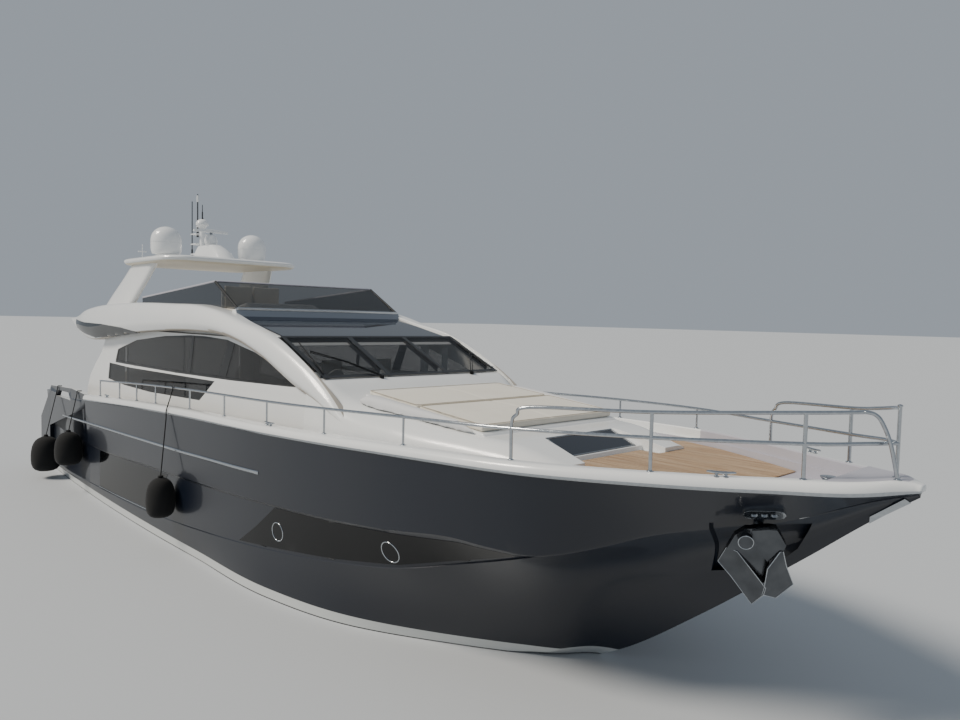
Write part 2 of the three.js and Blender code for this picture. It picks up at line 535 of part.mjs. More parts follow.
// Flybridge: deck, front coaming and the sweeping side coamings that run down beside the windscreen.
// x, top z, bottom z, outer half-breadth, inner half-breadth
const SWEEP = [
  [-11540, 5055, 4975, 2300, 2040],
  [-10600, 5150, 4700, 2440, 2080],
  [-9600, 5300, 4540, 2580, 2150],
  [-8320, 5420, 4440, 2660, 2150],
  [-6500, 5500, 4600, 2700, 2150],
  [-4700, 5530, 4740, 2710, 2150],
  [-2600, 5510, 4850, 2700, 2150],
  [-800, 5460, 4880, 2680, 2150],
  [170, 5330, 4850, 2660, 2150],
  [980, 5150, 4740, 2630, 2200],
  [2050, 4930, 4440, 2590, 2280],
  [3230, 4480, 3990, 2530, 2330],
  [4000, 4150, 3860, 2480, 2360],
  [4700, 3890, 3790, 2440, 2390],
];
const COAMING_IN = 2150;
const sweepXs = spread(SWEEP[0][0], SWEEP[SWEEP.length - 1][0], 34);
const sweep = loft(smooth(SWEEP, sweepXs).map(([x, top, foot, outer, within]) => {
  const high = top - foot;
  const inner = x > -9600 ? Math.max(within, COAMING_IN) : within;
  return [[x, -inner, foot], [x, -outer + 90, foot], [x, -outer, foot + high * 0.3],
    [x, -outer + 25, foot + high * 0.62], [x, -outer + 110, top - high * 0.08],
    [x, -outer + 190, top], [x, -inner, top]];
}));
const flyDeck = prism('z', [[-11350, 1900], [-9600, 2200], [200, 2200], [200, -2200], [-9600, -2200],
  [-11350, -1900]], HOUSE_TOP_Z + GAP, FLY_DECK_Z);
const ROOF_GLASS = { foreX: 2150, foreZ: 4850, aftX: 335, aftZ: 5220 };
const flyWedge = prism('y', [[ROOF_GLASS.foreX, HOUSE_TOP_Z + 10], [ROOF_GLASS.foreX, ROOF_GLASS.foreZ],
  [ROOF_GLASS.aftX, ROOF_GLASS.aftZ], [250, 5390], [80, 5390],
  [80, HOUSE_TOP_Z + 10]], -2200, 2200);
const houseBlock = lean(prism('y', inset(HOUSE_SIDE, -GAP), -HOUSE_HALF - GAP, HOUSE_HALF + GAP));
const screenBlock = prism('y', [offScreen(SCREEN_FOOT[0] + 30, -60), offScreen(SCREEN_FOOT[0] + 30, 120),
  offScreen(SCREEN_HEAD[0] - 30, 120), offScreen(SCREEN_HEAD[0] - 30, -60)],
  -SCREEN_HALF - 2, SCREEN_HALF + 2);
const coachBlock = loft(COACH.map(roofRing(-GAP * 1.5)).map((ring) =>
  ring.map(([x, y, z], i) => [x, y + (i < 3 ? 1 : -1) * GAP, z])));
const flybridge = cut(join(flyDeck, flyWedge, sweep, mirror(sweep)), houseBlock, screenBlock, coachBlock,
  box(3500, 4900, -2600, 2600, 3000, 3750));
piece('flybridge', flybridge, FINISH.white());
const roofGlass = prism('y', [[ROOF_GLASS.foreX, ROOF_GLASS.foreZ + GAP],
  [ROOF_GLASS.aftX + 6, ROOF_GLASS.aftZ - 1 + GAP],
  [ROOF_GLASS.aftX + 10, ROOF_GLASS.aftZ + GLASS_THICK],
  [ROOF_GLASS.foreX + 5, ROOF_GLASS.foreZ + GLASS_THICK]], -2120, 2120);
piece('roof_glass', roofGlass, FINISH.glass());

// Flybridge wind deflector: a raked front pane and a side pane tapering aft
const FLY_PANE = { footX: 240, footZ: 5390 + GAP, headX: -880, headZ: 6020, half: 2149.6, thick: 24 };
const frontPane = prism('y', [[FLY_PANE.footX, FLY_PANE.footZ], [FLY_PANE.headX, FLY_PANE.headZ],
  [FLY_PANE.headX - 27, FLY_PANE.headZ], [FLY_PANE.footX - 45, FLY_PANE.footZ]],
  -FLY_PANE.half, FLY_PANE.half);
const sidePane = prism('y', [[FLY_PANE.footX - 20, FLY_PANE.footZ], [FLY_PANE.headX - 10, FLY_PANE.headZ],
  [-5450, 5680], [-5450, 5500], [-800, 5430]], -FLY_PANE.half, -FLY_PANE.half + FLY_PANE.thick);
piece('fly_windscreen', join(frontPane, sidePane, mirror(sidePane)), FINISH.glass());

// Flybridge furniture
const FLY_FLOOR = FLY_DECK_Z + GAP;
const flyConsole = prism('y', [[-1150, FLY_FLOOR], [-150, FLY_FLOOR], [-150, 5350], [-700, 5560],
  [-1150, 5480]], -1500, 300);
piece('fly_console', flyConsole, FINISH.white());
const bench = (x0, x1, y0, y1, floor, seatZ, backZ) => join(
  box(x0, x1, y0, y1, floor, seatZ), box(x0, x0 + 180, y0, y1, floor, backZ));
piece('fly_helm_bench', bench(-2350, -1700, -1350, 200, FLY_FLOOR, FLY_FLOOR + 520, FLY_FLOOR + 1050),
  FINISH.leather());
const flySofa = join(box(-6450, -3300, 1500, 2120, FLY_FLOOR, FLY_FLOOR + 430),
  box(-6450, -3300, 2000, 2120, FLY_FLOOR, FLY_FLOOR + 560),
  box(-6450, -5800, 300, 2120, FLY_FLOOR, FLY_FLOOR + 430));
piece('fly_sofa', flySofa, FINISH.leather());

// Radar arch and hardtop
const HARDTOP = { aft: -7950, fore: -4150, half: 1980, corner: 620, low: 6640, mid: 6730, high: 6830 };
function roundedPlan(grow) {
  const [x0, x1, y, r] = [HARDTOP.aft - grow, HARDTOP.fore + grow, HARDTOP.half + grow, HARDTOP.corner];
  const corners = [[x1 - r, y - r, 0], [x0 + r, y - r, 90], [x0 + r, -y + r, 180], [x1 - r, -y + r, 270]];
  return corners.flatMap(([cx, cy, start]) => [0, 22.5, 45, 67.5, 90].map((step) => {
    const turn = THREE.MathUtils.degToRad(start + step);
    return [cx + r * Math.cos(turn), cy + r * Math.sin(turn)];
  }));
}
const hardtopPlate = loft([[-150, HARDTOP.low], [-10, HARDTOP.mid - 20], [0, HARDTOP.mid + 30],
  [-60, HARDTOP.high - 12], [-160, HARDTOP.high]]
  .map(([grow, z]) => roundedPlan(grow).map(([x, y]) => [x, y, z])));
// Foot to head, each ring aft to fore along its inner and outer edge
const archLeg = loft([
  [[-9100, -2040, 5200], [-9100, -2180, 5200], [-6800, -2180, 5200], [-6800, -2040, 5200]],
  [[-8450, -1930, 5740], [-8450, -2060, 5740], [-6340, -2060, 5740], [-6340, -1930, 5740]],
  [[-7780, -1790, 6300], [-7780, -1910, 6300], [-5850, -1910, 6300], [-5850, -1790, 6300]],
  [[-7330, -1700, 6690], [-7330, -1820, 6690], [-5530, -1820, 6690], [-5530, -1700, 6690]],
]);
const hardtop = cut(join(hardtopPlate, archLeg, mirror(archLeg)), flybridge.translate([0, 0, GAP]));
piece('hardtop', hardtop, FINISH.white());

const HARDTOP_TOP = HARDTOP.high + GAP;
const DOME = { x: -6010, y: 1300, radius: 415 };
const domeProfile = [[0, 0], [250, 0], [270, 90], [370, 110], [395, 170], [DOME.radius, 260],
  [DOME.radius, 480], [390, 620], [320, 750], [190, 850], [0, 890]];
for (const [side, y] of [['starboard', -DOME.y], ['port', DOME.y]]) {
  piece(`satellite_dome_${side}`, lathe(domeProfile, 20), FINISH.white(), [DOME.x, y, HARDTOP_TOP]);
}
const SCANNER = { x: -6000, z: 7660, reach: 520 };
const mastBase = loft([[-6640, -4760, 300, HARDTOP_TOP], [-6620, -5180, 230, 7130],
  [-6560, -5560, 170, 7290]].map(([x0, x1, y, z]) => [[x0, -y, z], [x1, -y, z], [x1, y, z], [x0, y, z]]));
const ball = toSolid(new THREE.SphereGeometry(165, 18, 12).rotateX(Math.PI / 2)
  .translate(SCANNER.x, 0, 7455));
const ballFoot = rod([SCANNER.x, 0, 7200], [SCANNER.x, 0, 7340], 70, 12);
const MAST_X = -6610;
// x, y, foot z, top z, radius
const WHIPS = [[-6950, -170, 6990, 8660, 26], [-6950, 0, 7600, 8900, 34], [MAST_X, 0, 8100, 8550, 20],
  [-6950, 170, 6990, 8200, 22]];
const yards = [[7050, 200], [7350, 200], [7650, 200], [7900, 30]].map(([z, half]) =>
  box(-6990, MAST_X, -half, half, z, z + 34));
const mast = join(mastBase, ball, ballFoot, rod([MAST_X, 0, 7200], [MAST_X, 0, 8000], 75, 12),
  lathe([[0, 0], [110, 0], [130, 50], [180, 70], [188, 120], [150, 200], [80, 245], [0, 258]], 18)
    .translate([MAST_X, 0, 7860]),
  ...yards, ...WHIPS.map(([x, y, foot, top, r]) => rod([x, y, foot], [x, y, top], r, 8)));
piece('mast', mast, FINISH.white());
const scannerHub = rod([0, 0, GAP - 40], [0, 0, 20], 40, 12);
const scannerBar = loft([-SCANNER.reach, 0, SCANNER.reach].map((y, i) => {
  const [w, h] = i === 1 ? [75, 60] : [40, 34];
  return [[-w, y, 10], [w, y, 10], [w * 0.8, y, 10 + h * 1.6], [-w * 0.8, y, 10 + h * 1.6]];
}));
piece('radar_scanner', join(scannerHub, scannerBar), FINISH.white(), [SCANNER.x, 0, SCANNER.z]);

// Guard rails: a low rail all along the bulwark cap and a higher hoop round the bow
const RAIL_IN = 125;
const LOW_RAIL = 420;
const AFT_POSTS = [-6400, -4760, -3480, -2210, -240, 1440, 3130, 4930, 6850];
const BOW_POST_X = 12700;
// x, height above the cap of the low rail and of the hoop's top
const STARBOARD_RAIL = {
  side: -1, bowPosts: [8770, 10450, 11950], hoopFrom: 8770,
  rise: [[-6400, LOW_RAIL, 720], [10000, LOW_RAIL, 720], [11950, LOW_RAIL, 785], [12500, LOW_RAIL, 795]],
};
const PORT_RAIL = {
  side: 1, bowPosts: [8710, 10390, 11870], hoopFrom: 10390,
  rise: [[-6400, LOW_RAIL, 640], [6850, 360, 640], [10390, 350, 655], [11870, 375, 725], [12500, 410, 790]],
};
const capTop = (x) => sheerZ(x) + CAP_HEIGHT + GAP;
const onCap = (x, side, above) => [x, side * Math.max(sheerY(x) - RAIL_IN, 60), capTop(x) + above];
function rail({ side, bowPosts, hoopFrom, rise }, hoopEnd) {
  const [lowAt, highAt] = [1, 2].map((column) => (x) => along(rise, x, column));
  const postXs = [...AFT_POSTS, ...bowPosts];
  const low = [...postXs.map((x) => onCap(x, side, lowAt(x))),
    [12450, side * 330, capTop(12450) + lowAt(12450)], [BOW_POST_X, 0, capTop(BOW_POST_X) + LOW_RAIL - 20]];
  const hoopPosts = postXs.filter((x) => x > hoopFrom);
  const hoop = [onCap(hoopFrom, side, lowAt(hoopFrom) - 60), onCap(hoopFrom, side, lowAt(hoopFrom) + 60),
    onCap(hoopFrom + 70, side, highAt(hoopFrom) - 110), onCap(hoopFrom + 280, side, highAt(hoopFrom)),
    ...hoopPosts.map((x) => onCap(x, side, highAt(x))), ...hoopEnd];
  const post = (x, high, radius) => rod(onCap(x, side, -10), onCap(x, side, high), radius);
  const lowPosts = postXs.filter((x) => x < hoopFrom).map((x) => post(x, lowAt(x), 18));
  const highPosts = hoopPosts.map((x) => post(x, highAt(x), RAIL_RADIUS));
  const hoopLeg = post(hoopFrom, lowAt(hoopFrom), RAIL_RADIUS);
  return join(tube(low, RAIL_RADIUS, 46), tube(hoop, RAIL_RADIUS, 38), ...lowPosts, ...highPosts, hoopLeg);
}
const bowPost = rod([BOW_POST_X, 0, capTop(BOW_POST_X) - 20], [BOW_POST_X, 0, capTop(BOW_POST_X) + 830], 22);
const underRail = sheerCap.translate([0, 0, GAP]);
const legDown = [[12380, -390, 4320], [12450, -340, 4325], [12530, -285, 4300], [12595, -245, 4210],
  [12680, -200, 3970], [12760, -160, capTop(12760) - 20]];
piece('rail_starboard', cut(join(rail(STARBOARD_RAIL, legDown), bowPost), underRail), FINISH.steel());
const toPost = [[12300, 480, 4300], [12560, 240, 4350], [BOW_POST_X, 0, capTop(BOW_POST_X) + 810]];
const beyondPost = box(12600, 12800, -400, 22 + GAP, 3000, 4600);
piece('rail_port', cut(rail(PORT_RAIL, toPost), underRail, beyondPost), FINISH.steel());

// Ground tackle
const windlass = join(box(11800, 12060, -150, 150, FOREDECK_Z + GAP, FOREDECK_Z + 150),
  lathe([[0, 0], [90, 0], [60, 60], [95, 130], [0, 130]], 12).translate([11930, 0, FOREDECK_Z + 140]));
piece('windlass', windlass, FINISH.steel());
const LID = { aft: 11000, fore: 11600, half: 300, thick: 30 };
piece('bow_locker_lid', box(LID.aft, LID.fore, -LID.half, LID.half, FOREDECK_Z + GAP,
  FOREDECK_Z + GAP + LID.thick), FINISH.grey());

// A solid drawn flat, then set with its own x and y along two directions of the yacht's frame.
function place(solid, origin, alongX, alongY) {
  const x = new THREE.Vector3(...alongX).normalize();
  const y = new THREE.Vector3(...alongY);
  y.addScaledVector(x, -y.dot(x)).normalize();
  const z = x.clone().cross(y);
  return solid.transform([...x.toArray(), 0, ...y.toArray(), 0, ...z.toArray(), 0, ...origin, 1]);
}
const ANCHOR = {
  at: [11340, -935, 2715], along: [0.85, 0.53, 0], up: [0.127, -0.203, 0.971],
  ridge: 250, fold: 0.35, out: 120, thick: 46,
};
const fluke = (outline) => prism('z', outline, 0, ANCHOR.thick).warp((v) => {
  v[2] += ANCHOR.out - Math.abs(v[0] - ANCHOR.ridge) * ANCHOR.fold;
});
const flukeStarboard = fluke([[-208, -160], [-296, -377], [-138, -537], [23, -728], [117, -843], [241, -670],
  [260, -578], [-84, -176]]);
const flukePort = fluke([[262, -311], [238, -600], [222, -672], [392, -725], [584, -552], [480, -286],
  [430, -89], [395, -93]]);
const anchorBody = prism('z', [[-121, 38], [-208, -160], [-84, -200], [241, -640], [300, -330], [260, -110],
  [100, 144], [-5, 137]], -60, 40);
const anchorHead = prism('z', [[67, 144], [256, 178], [351, 173], [460, -14], [430, -110], [262, -253],
  [150, -90]], -70, 96);
const anchorBoss = rod([0, 0, -20], [0, 0, 130], 88, 20);
const shank = rod([230, 0, -20], [60, 260, -420], 60, 10);
const anchorParts = join(flukeStarboard, flukePort, anchorBody, anchorHead, anchorBoss, shank);
const anchorAtRest = place(anchorParts, ANCHOR.at, ANCHOR.along, ANCHOR.up);
const besideHull = [hull.translate([0, -GAP, 0]), hull.translate([0, 0, -GAP])];
// Slivers narrower than this that the cuts leave are closed up.
const SLIVER = 0.05;
piece('anchor', cut(anchorAtRest, ...besideHull).simplify(SLIVER), FINISH.steel());

// Stainless fittings on the topsides: oval hawse, lower rub rail and stem plate
const oval = (half, high) => [-90, -45, 0, 45, 90, 90, 135, 180, 225, 270].map((degrees, i) => {
  const turn = THREE.MathUtils.degToRad(degrees);
  return [(i < 5 ? 1 : -1) * (half - high) + high * Math.cos(turn), high * Math.sin(turn)];
});
const HAWSE = {
  at: [11530, -850, 3035], along: [0.88, 0.46, 0.08], up: [0, -0.74, 0.67], half: 245, high: 88,
};
const hawseEyes = [-115, 0, 115].map((x) => rod([x, 0, 12], [x, 0, 60], 42, 16));
const hawsePlate = cut(prism('z', oval(HAWSE.half, HAWSE.high), -60, 30), ...hawseEyes);
const hawse = place(hawsePlate, HAWSE.at, HAWSE.along, HAWSE.up);
pair('hawse', cut(hawse, ...besideHull).simplify(SLIVER), FINISH.steel);
const RUB_RAIL = [[-10900, 1990], [-6340, 2130], [-3060, 2212], [460, 2300], [2950, 2378]];
const RUB_RAIL_HALF = 32;
const rubRailXs = sheerXs(RUB_RAIL[0][0], RUB_RAIL[RUB_RAIL.length - 1][0]);
const rubRail = loft(rubRailXs.map((x, i) => {
  const z = along(RUB_RAIL, x, 1);
  const end = i === 0 || i === rubRailXs.length - 1 ? 0.4 : 1;
  return [[-30, -1], [18, -1], [34, -0.5], [34, 0.5], [18, 1], [-30, 1]]
    .map(([out, up]) => [x, -sideY(x, z) - (out > 0 ? out * end : out), z + up * RUB_RAIL_HALF]);
}));
pair('rub_rail', cut(rubRail, ...besideHull).simplify(SLIVER), FINISH.steel);
const stemRegion = prism('y', [[12400, 2800], [12450, 3050], [12820, 3340], [12900, 3250],
  [12560, 2800]], -75, 75);
const stemSkin = cut(hullLoft(-7).translate([8, 0, -8]), hullLoft(-2).translate([1, 0, -1]),
  fullHull.translate([GAP, 0, -GAP]));
piece('stem_plate', common(stemRegion, stemSkin).simplify(SLIVER), FINISH.steel());

// Seen through the glass: helm, seats and saloon
const FLOOR = MAIN_DECK_Z + GAP;
const dashboard = prism('y', [[2350, FLOOR], [3390, FLOOR], [3390, 4080], [2900, 4120], [2500, 3950],
  [2350, 3700]], -2100, 2100);
piece('dashboard', dashboard, FINISH.dark());
const seat = (y) => join(box(1250, 1550, y - 150, y + 150, 2990, 3450),
  prism('y', [[1050, 3440], [1650, 3440], [1650, 3570], [1230, 3590], [1130, 4330], [1010, 4330]],
    y - 300, y + 300));
piece('helm_seats', join(box(700, 1900, -1700, 1700, FLOOR, 3000), seat(-1200), seat(-300), seat(1100)),
  FINISH.leather());
const saloonSofa = join(box(-6600, -2600, 1500, 2280, FLOOR, 2900),
  box(-6600, -2600, 2130, 2280, FLOOR, 3180), box(-6600, -5900, 300, 2280, FLOOR, 2900));
piece('saloon_sofa', saloonSofa, FINISH.leather());

// Cockpit
piece('cockpit_sofa', join(box(-11600, -10950, -1380, 1380, FLOOR + TEAK_THICK + GAP, 2900),
  box(-11600, -11420, -1380, 1380, FLOOR + TEAK_THICK + GAP, 3250)), FINISH.leather());
piece('cockpit_table', join(box(-10500, -9600, -700, 700, 3130, 3180),
  rod([-10050, 0, FLOOR + TEAK_THICK + GAP], [-10050, 0, 3140], 70, 12)), FINISH.teak());

// Running gear: shaft, bracket, propeller and rudder on each side
const DRIVE = { y: 1350, headX: -6300, headZ: -430, tailX: -11080, tailZ: -1130 };
const driveTilt = Math.atan2(DRIVE.headZ - DRIVE.tailZ, DRIVE.headX - DRIVE.tailX);
const drivePoint = (back) => [DRIVE.tailX - back * Math.cos(driveTilt), -DRIVE.y,
  DRIVE.tailZ - back * Math.sin(driveTilt)];
const strut = prism('y', [[-10950, -1130], [-10700, -1090], [-10350, -200], [-10700, -200]],
  -DRIVE.y - 30, -DRIVE.y + 30);
const shaftLine = join(rod([DRIVE.headX, -DRIVE.y, DRIVE.headZ], drivePoint(0), 50, 12),
  rod(drivePoint(-400), drivePoint(-20), 100, 14), strut);
pair('shaft', cut(shaftLine, fullHull.translate([0, 0, -GAP])), FINISH.bronze);

const PROPELLER = { radius: 450, blades: 5, hub: 95, long: 230 };
const blade = loft([
  [60, 110, 60], [200, 170, 52], [330, 175, 40], [410, 120, 32], [PROPELLER.radius, 40, 28],
].map(([r, half, pitch]) => {
  const turn = THREE.MathUtils.degToRad(pitch);
  const [ax, ay] = [half * Math.sin(turn), half * Math.cos(turn)];
  const [tx, ty] = [9 * Math.cos(turn), -9 * Math.sin(turn)];
  return [[ax, ay, r], [tx, ty, r], [-ax, -ay, r], [-tx, -ty, r]];
}));
const hub = rod([-PROPELLER.long / 2, 0, 0], [PROPELLER.long / 2, 0, 0], PROPELLER.hub, 16);
const hubCone = rod([-PROPELLER.long / 2 - 60, 0, 0], [-PROPELLER.long / 2 + 5, 0, 0], 60, 12);
const blades = [];
for (let i = 0; i < PROPELLER.blades; i++) blades.push(blade.rotate([(360 * i) / PROPELLER.blades, 0, 0]));
const propeller = join(hub, hubCone, ...blades);
for (const [side, y, hand] of [['starboard', -DRIVE.y, propeller], ['port', DRIVE.y, mirror(propeller)]]) {
  const [x, , z] = drivePoint(PROPELLER.long / 2 + GAP);
  piece(`propeller_${side}`, hand, FINISH.bronze(), [x, y, z], [0, -driveTilt, 0]);
}
const RUDDER = { x: -11760, top: -500, foot: -1620, fore: 290, aft: 330, stock: 28 };
const rudderBlade = loft([[RUDDER.foot, 0.8], [RUDDER.top, 1]].map(([z, s]) => [
  [RUDDER.fore * s, 0, z], [180 * s, 30, z], [-RUDDER.aft * s, 8, z], [-RUDDER.aft * s, -8, z],
  [180 * s, -30, z]]));
const aboveStock = rod([RUDDER.x, -DRIVE.y, -800], [RUDDER.x, -DRIVE.y, 0], RUDDER.stock + 1, 12);
const stockTop = common(fullHull, aboveStock).boundingBox().min[2] - GAP;
const rudder = join(rudderBlade, rod([0, 0, RUDDER.top - 20], [0, 0, stockTop], RUDDER.stock, 12));
pair('rudder', rudder.translate([RUDDER.x, -DRIVE.y, 0]), FINISH.bronze);

// Fenders on the starboard side, each hung on its lanyard
// name, x, centre y, centre z, radius, half height
const FENDERS = [
  ['fender_aft', -10600, -3290, 790, 420, 560],
  ['fender_quarter', -8250, -3325, 1290, 420, 500],
  ['fender_side', -1080, -3312, 1210, 320, 470],
];
const LANYARD = 12;
// A cord of constant radius whose route [y, z] lies in the plane of one x.
function cordAt(x, route, radius) {
  return loft(route.map(([y, z], i) => {
    const [before, after] = [route[Math.max(i - 1, 0)], route[Math.min(i + 1, route.length - 1)]];
    const run = Math.hypot(after[0] - before[0], after[1] - before[1]);
    const side = [-(after[1] - before[1]) / run, (after[0] - before[0]) / run];
    return [0, 45, 90, 135, 180, 225, 270, 315].map((degrees) => {
      const turn = THREE.MathUtils.degToRad(degrees);
      const [across, out] = [radius * Math.sin(turn), radius * Math.cos(turn)];
      return [x + across, y + out * side[0], z + out * side[1]];
    });
  }));
}
// The lanyard goes over the edge onto the quarter wing's top, or up past the cap to the guard rail.
function lanyardRoute(x) {
  if (x > CAP_AFT_X) {
    const [railY, railZ] = [-(sheerY(x) - RAIL_IN), capTop(x) + LOW_RAIL];
    const past = -sheerY(x) - CAP_OUT - LANYARD - 6;
    const side = railY - RAIL_RADIUS - LANYARD + GAP;
    return [[past, sheerZ(x) - 60], [past, sheerZ(x) + 90], [side, railZ - 40], [side, railZ + 30]];
  }
  const edge = -sheerY(x);
  const top = along([[-11600, 2830], [-8900, 2950], [CAP_AFT_X, 2900]], x, 1);
  const off = LANYARD + 4;
  return [[edge - off, top - 60], [edge - off, top - 4], [edge - 10, top + 12], [edge + 4, top + off + 2],
    [edge + 40, top + LANYARD + GAP], [edge + 110, top + LANYARD + GAP]];
}
for (const [name, x, y, z, radius, high] of FENDERS) {
  const body = lathe([[0, -high], [radius * 0.45, -high * 0.93], [radius * 0.85, -high * 0.6],
    [radius, -high * 0.15], [radius, high * 0.2], [radius * 0.82, high * 0.58],
    [radius * 0.42, high * 0.82], [60, high * 0.9], [55, high], [0, high]], 20).translate([x, y, z]);
  const lanyard = cordAt(x, [[y, z + high - 20], ...lanyardRoute(x)], LANYARD);
  piece(name, cut(join(body, lanyard), hull.translate([0, -GAP, 0]), hull.translate([0, 0, GAP]),
    sheerCap.translate([0, -GAP, 0])), FINISH.rubber());
}

export default yacht;
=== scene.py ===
"""Flybridge motor yacht of 26 m, dressed around its CAD frame.

Metres, +X to the bow, +Y to port, +Z up, origin amidships on the waterline.
"""

import math

import bmesh
import bpy
from mathutils import Matrix, Vector
from mathutils.bvhtree import BVHTree


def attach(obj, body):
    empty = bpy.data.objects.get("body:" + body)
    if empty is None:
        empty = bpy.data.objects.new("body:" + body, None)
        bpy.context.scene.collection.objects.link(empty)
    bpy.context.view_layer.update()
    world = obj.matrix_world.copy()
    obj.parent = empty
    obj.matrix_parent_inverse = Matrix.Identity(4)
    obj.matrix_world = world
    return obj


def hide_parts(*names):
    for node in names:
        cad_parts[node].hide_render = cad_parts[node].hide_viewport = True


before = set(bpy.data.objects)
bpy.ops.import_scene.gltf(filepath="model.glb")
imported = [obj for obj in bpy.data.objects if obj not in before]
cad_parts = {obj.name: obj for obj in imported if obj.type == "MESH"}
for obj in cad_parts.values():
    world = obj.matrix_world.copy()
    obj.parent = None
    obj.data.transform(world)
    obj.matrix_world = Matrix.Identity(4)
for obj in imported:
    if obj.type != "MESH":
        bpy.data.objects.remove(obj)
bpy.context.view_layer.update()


# ---- Camera: off the starboard bow, a little above the bow rail. Its place, lens and slight tilt
# come from the horizon and from the rail feet, which stand in pairs either side of the centreline.
EYE = Vector((15.503, -9.47, 5.297))
YAW, PITCH, ROLL = math.radians(46.22), math.radians(3.15), math.radians(1.30)
FOCAL_PIXELS, PHOTO_PIXELS_WIDE, SENSOR_MM = 740.8, 960, 36
ahead = Vector((-math.sin(YAW) * math.cos(PITCH), math.cos(YAW) * math.cos(PITCH), -math.sin(PITCH)))
level = Vector((math.cos(YAW), math.sin(YAW), 0))
plumb = level.cross(ahead)
right = level * math.cos(ROLL) + plumb * math.sin(ROLL)
upright = plumb * math.cos(ROLL) - level * math.sin(ROLL)
lens = bpy.data.cameras.new("bow_camera")
lens.sensor_fit = "HORIZONTAL"
lens.sensor_width = SENSOR_MM
lens.lens = FOCAL_PIXELS / PHOTO_PIXELS_WIDE * SENSOR_MM
lens.clip_end = 2000


def placed(name, data):
    """An object of the scene that carries a mesh, a lamp or a lens, at the origin."""
    made = bpy.data.objects.new(name, data)
    bpy.context.scene.collection.objects.link(made)
    return made


camera = placed("bow_camera", lens)
camera.matrix_world = Matrix.Translation(EYE) @ Matrix((right, upright, -ahead)).transposed().to_4x4()
bpy.context.scene.camera = camera


# ---- Floor and light: a plain pale floor at the waterline, under a pale sky that lights evenly,
# with one broad soft lamp high off the starboard quarter, for the sun.
def linear(hex_code):
    """A sRGB hex colour as the linear RGBA that the shaders take."""
    values = [int(hex_code[i : i + 2], 16) / 255 for i in (0, 2, 4)]
    return tuple(v / 12.92 if v <= 0.04045 else ((v + 0.055) / 1.055) ** 2.4 for v in values) + (1,)


def add(tree, kind, settings=None, inputs=None):
    """One node with its settings; an input is a value or another node's output. Returns the outputs."""
    made = tree.nodes.new(kind)
    for name, value in (settings or {}).items():
        setattr(made, name, value)
    for key, value in (inputs or {}).items():
        if isinstance(value, bpy.types.NodeSocket):
            tree.links.new(value, made.inputs[key])
        else:
            made.inputs[key].default_value = value
    return made.outputs


def finish(name, inputs):
    """A material with one Principled shader. Returns the material, its tree and the shader."""
    made = bpy.data.materials.new(name)
    made.use_nodes = True
    shader = made.node_tree.nodes["Principled BSDF"]
    for key, value in inputs.items():
        shader.inputs[key].default_value = value
    return made, made.node_tree, shader


# Painted studio floor: matt, so it takes the soft shadow and mirrors nothing.
floor_paint = finish("floor_matt_paint", {"Base Color": linear("c2c6ca"), "Roughness": 0.9})[0]
FLOOR_HALF = 600
floor_mesh = bpy.data.meshes.new("floor")
floor_mesh.from_pydata([(-FLOOR_HALF, -FLOOR_HALF, 0), (FLOOR_HALF, -FLOOR_HALF, 0),
    (FLOOR_HALF, FLOOR_HALF, 0), (-FLOOR_HALF, FLOOR_HALF, 0)], [], [(0, 1, 2, 3)])
floor_mesh.materials.append(floor_paint)
floor = placed("floor", floor_mesh)

SKY_STRENGTH, SUN_STRENGTH, SUN_DEGREES_WIDE, SUN_TOWARDS = 0.5, 3.4, 18, Vector((0.35, 0.62, -0.72))
world = bpy.data.worlds.new("pale_sky")
world.use_nodes = True
world.node_tree.nodes["Background"].inputs["Color"].default_value = linear("d3dde8")
world.node_tree.nodes["Background"].inputs["Strength"].default_value = SKY_STRENGTH
bpy.context.scene.world = world
lamp = bpy.data.lights.new("soft_sun", "SUN")
lamp.energy = SUN_STRENGTH
lamp.angle = math.radians(SUN_DEGREES_WIDE)
lamp.color = linear("fff6e8")[:3]
sun = placed("soft_sun", lamp)
sun.rotation_euler = SUN_TOWARDS.to_track_quat("-Z", "Y").to_euler()


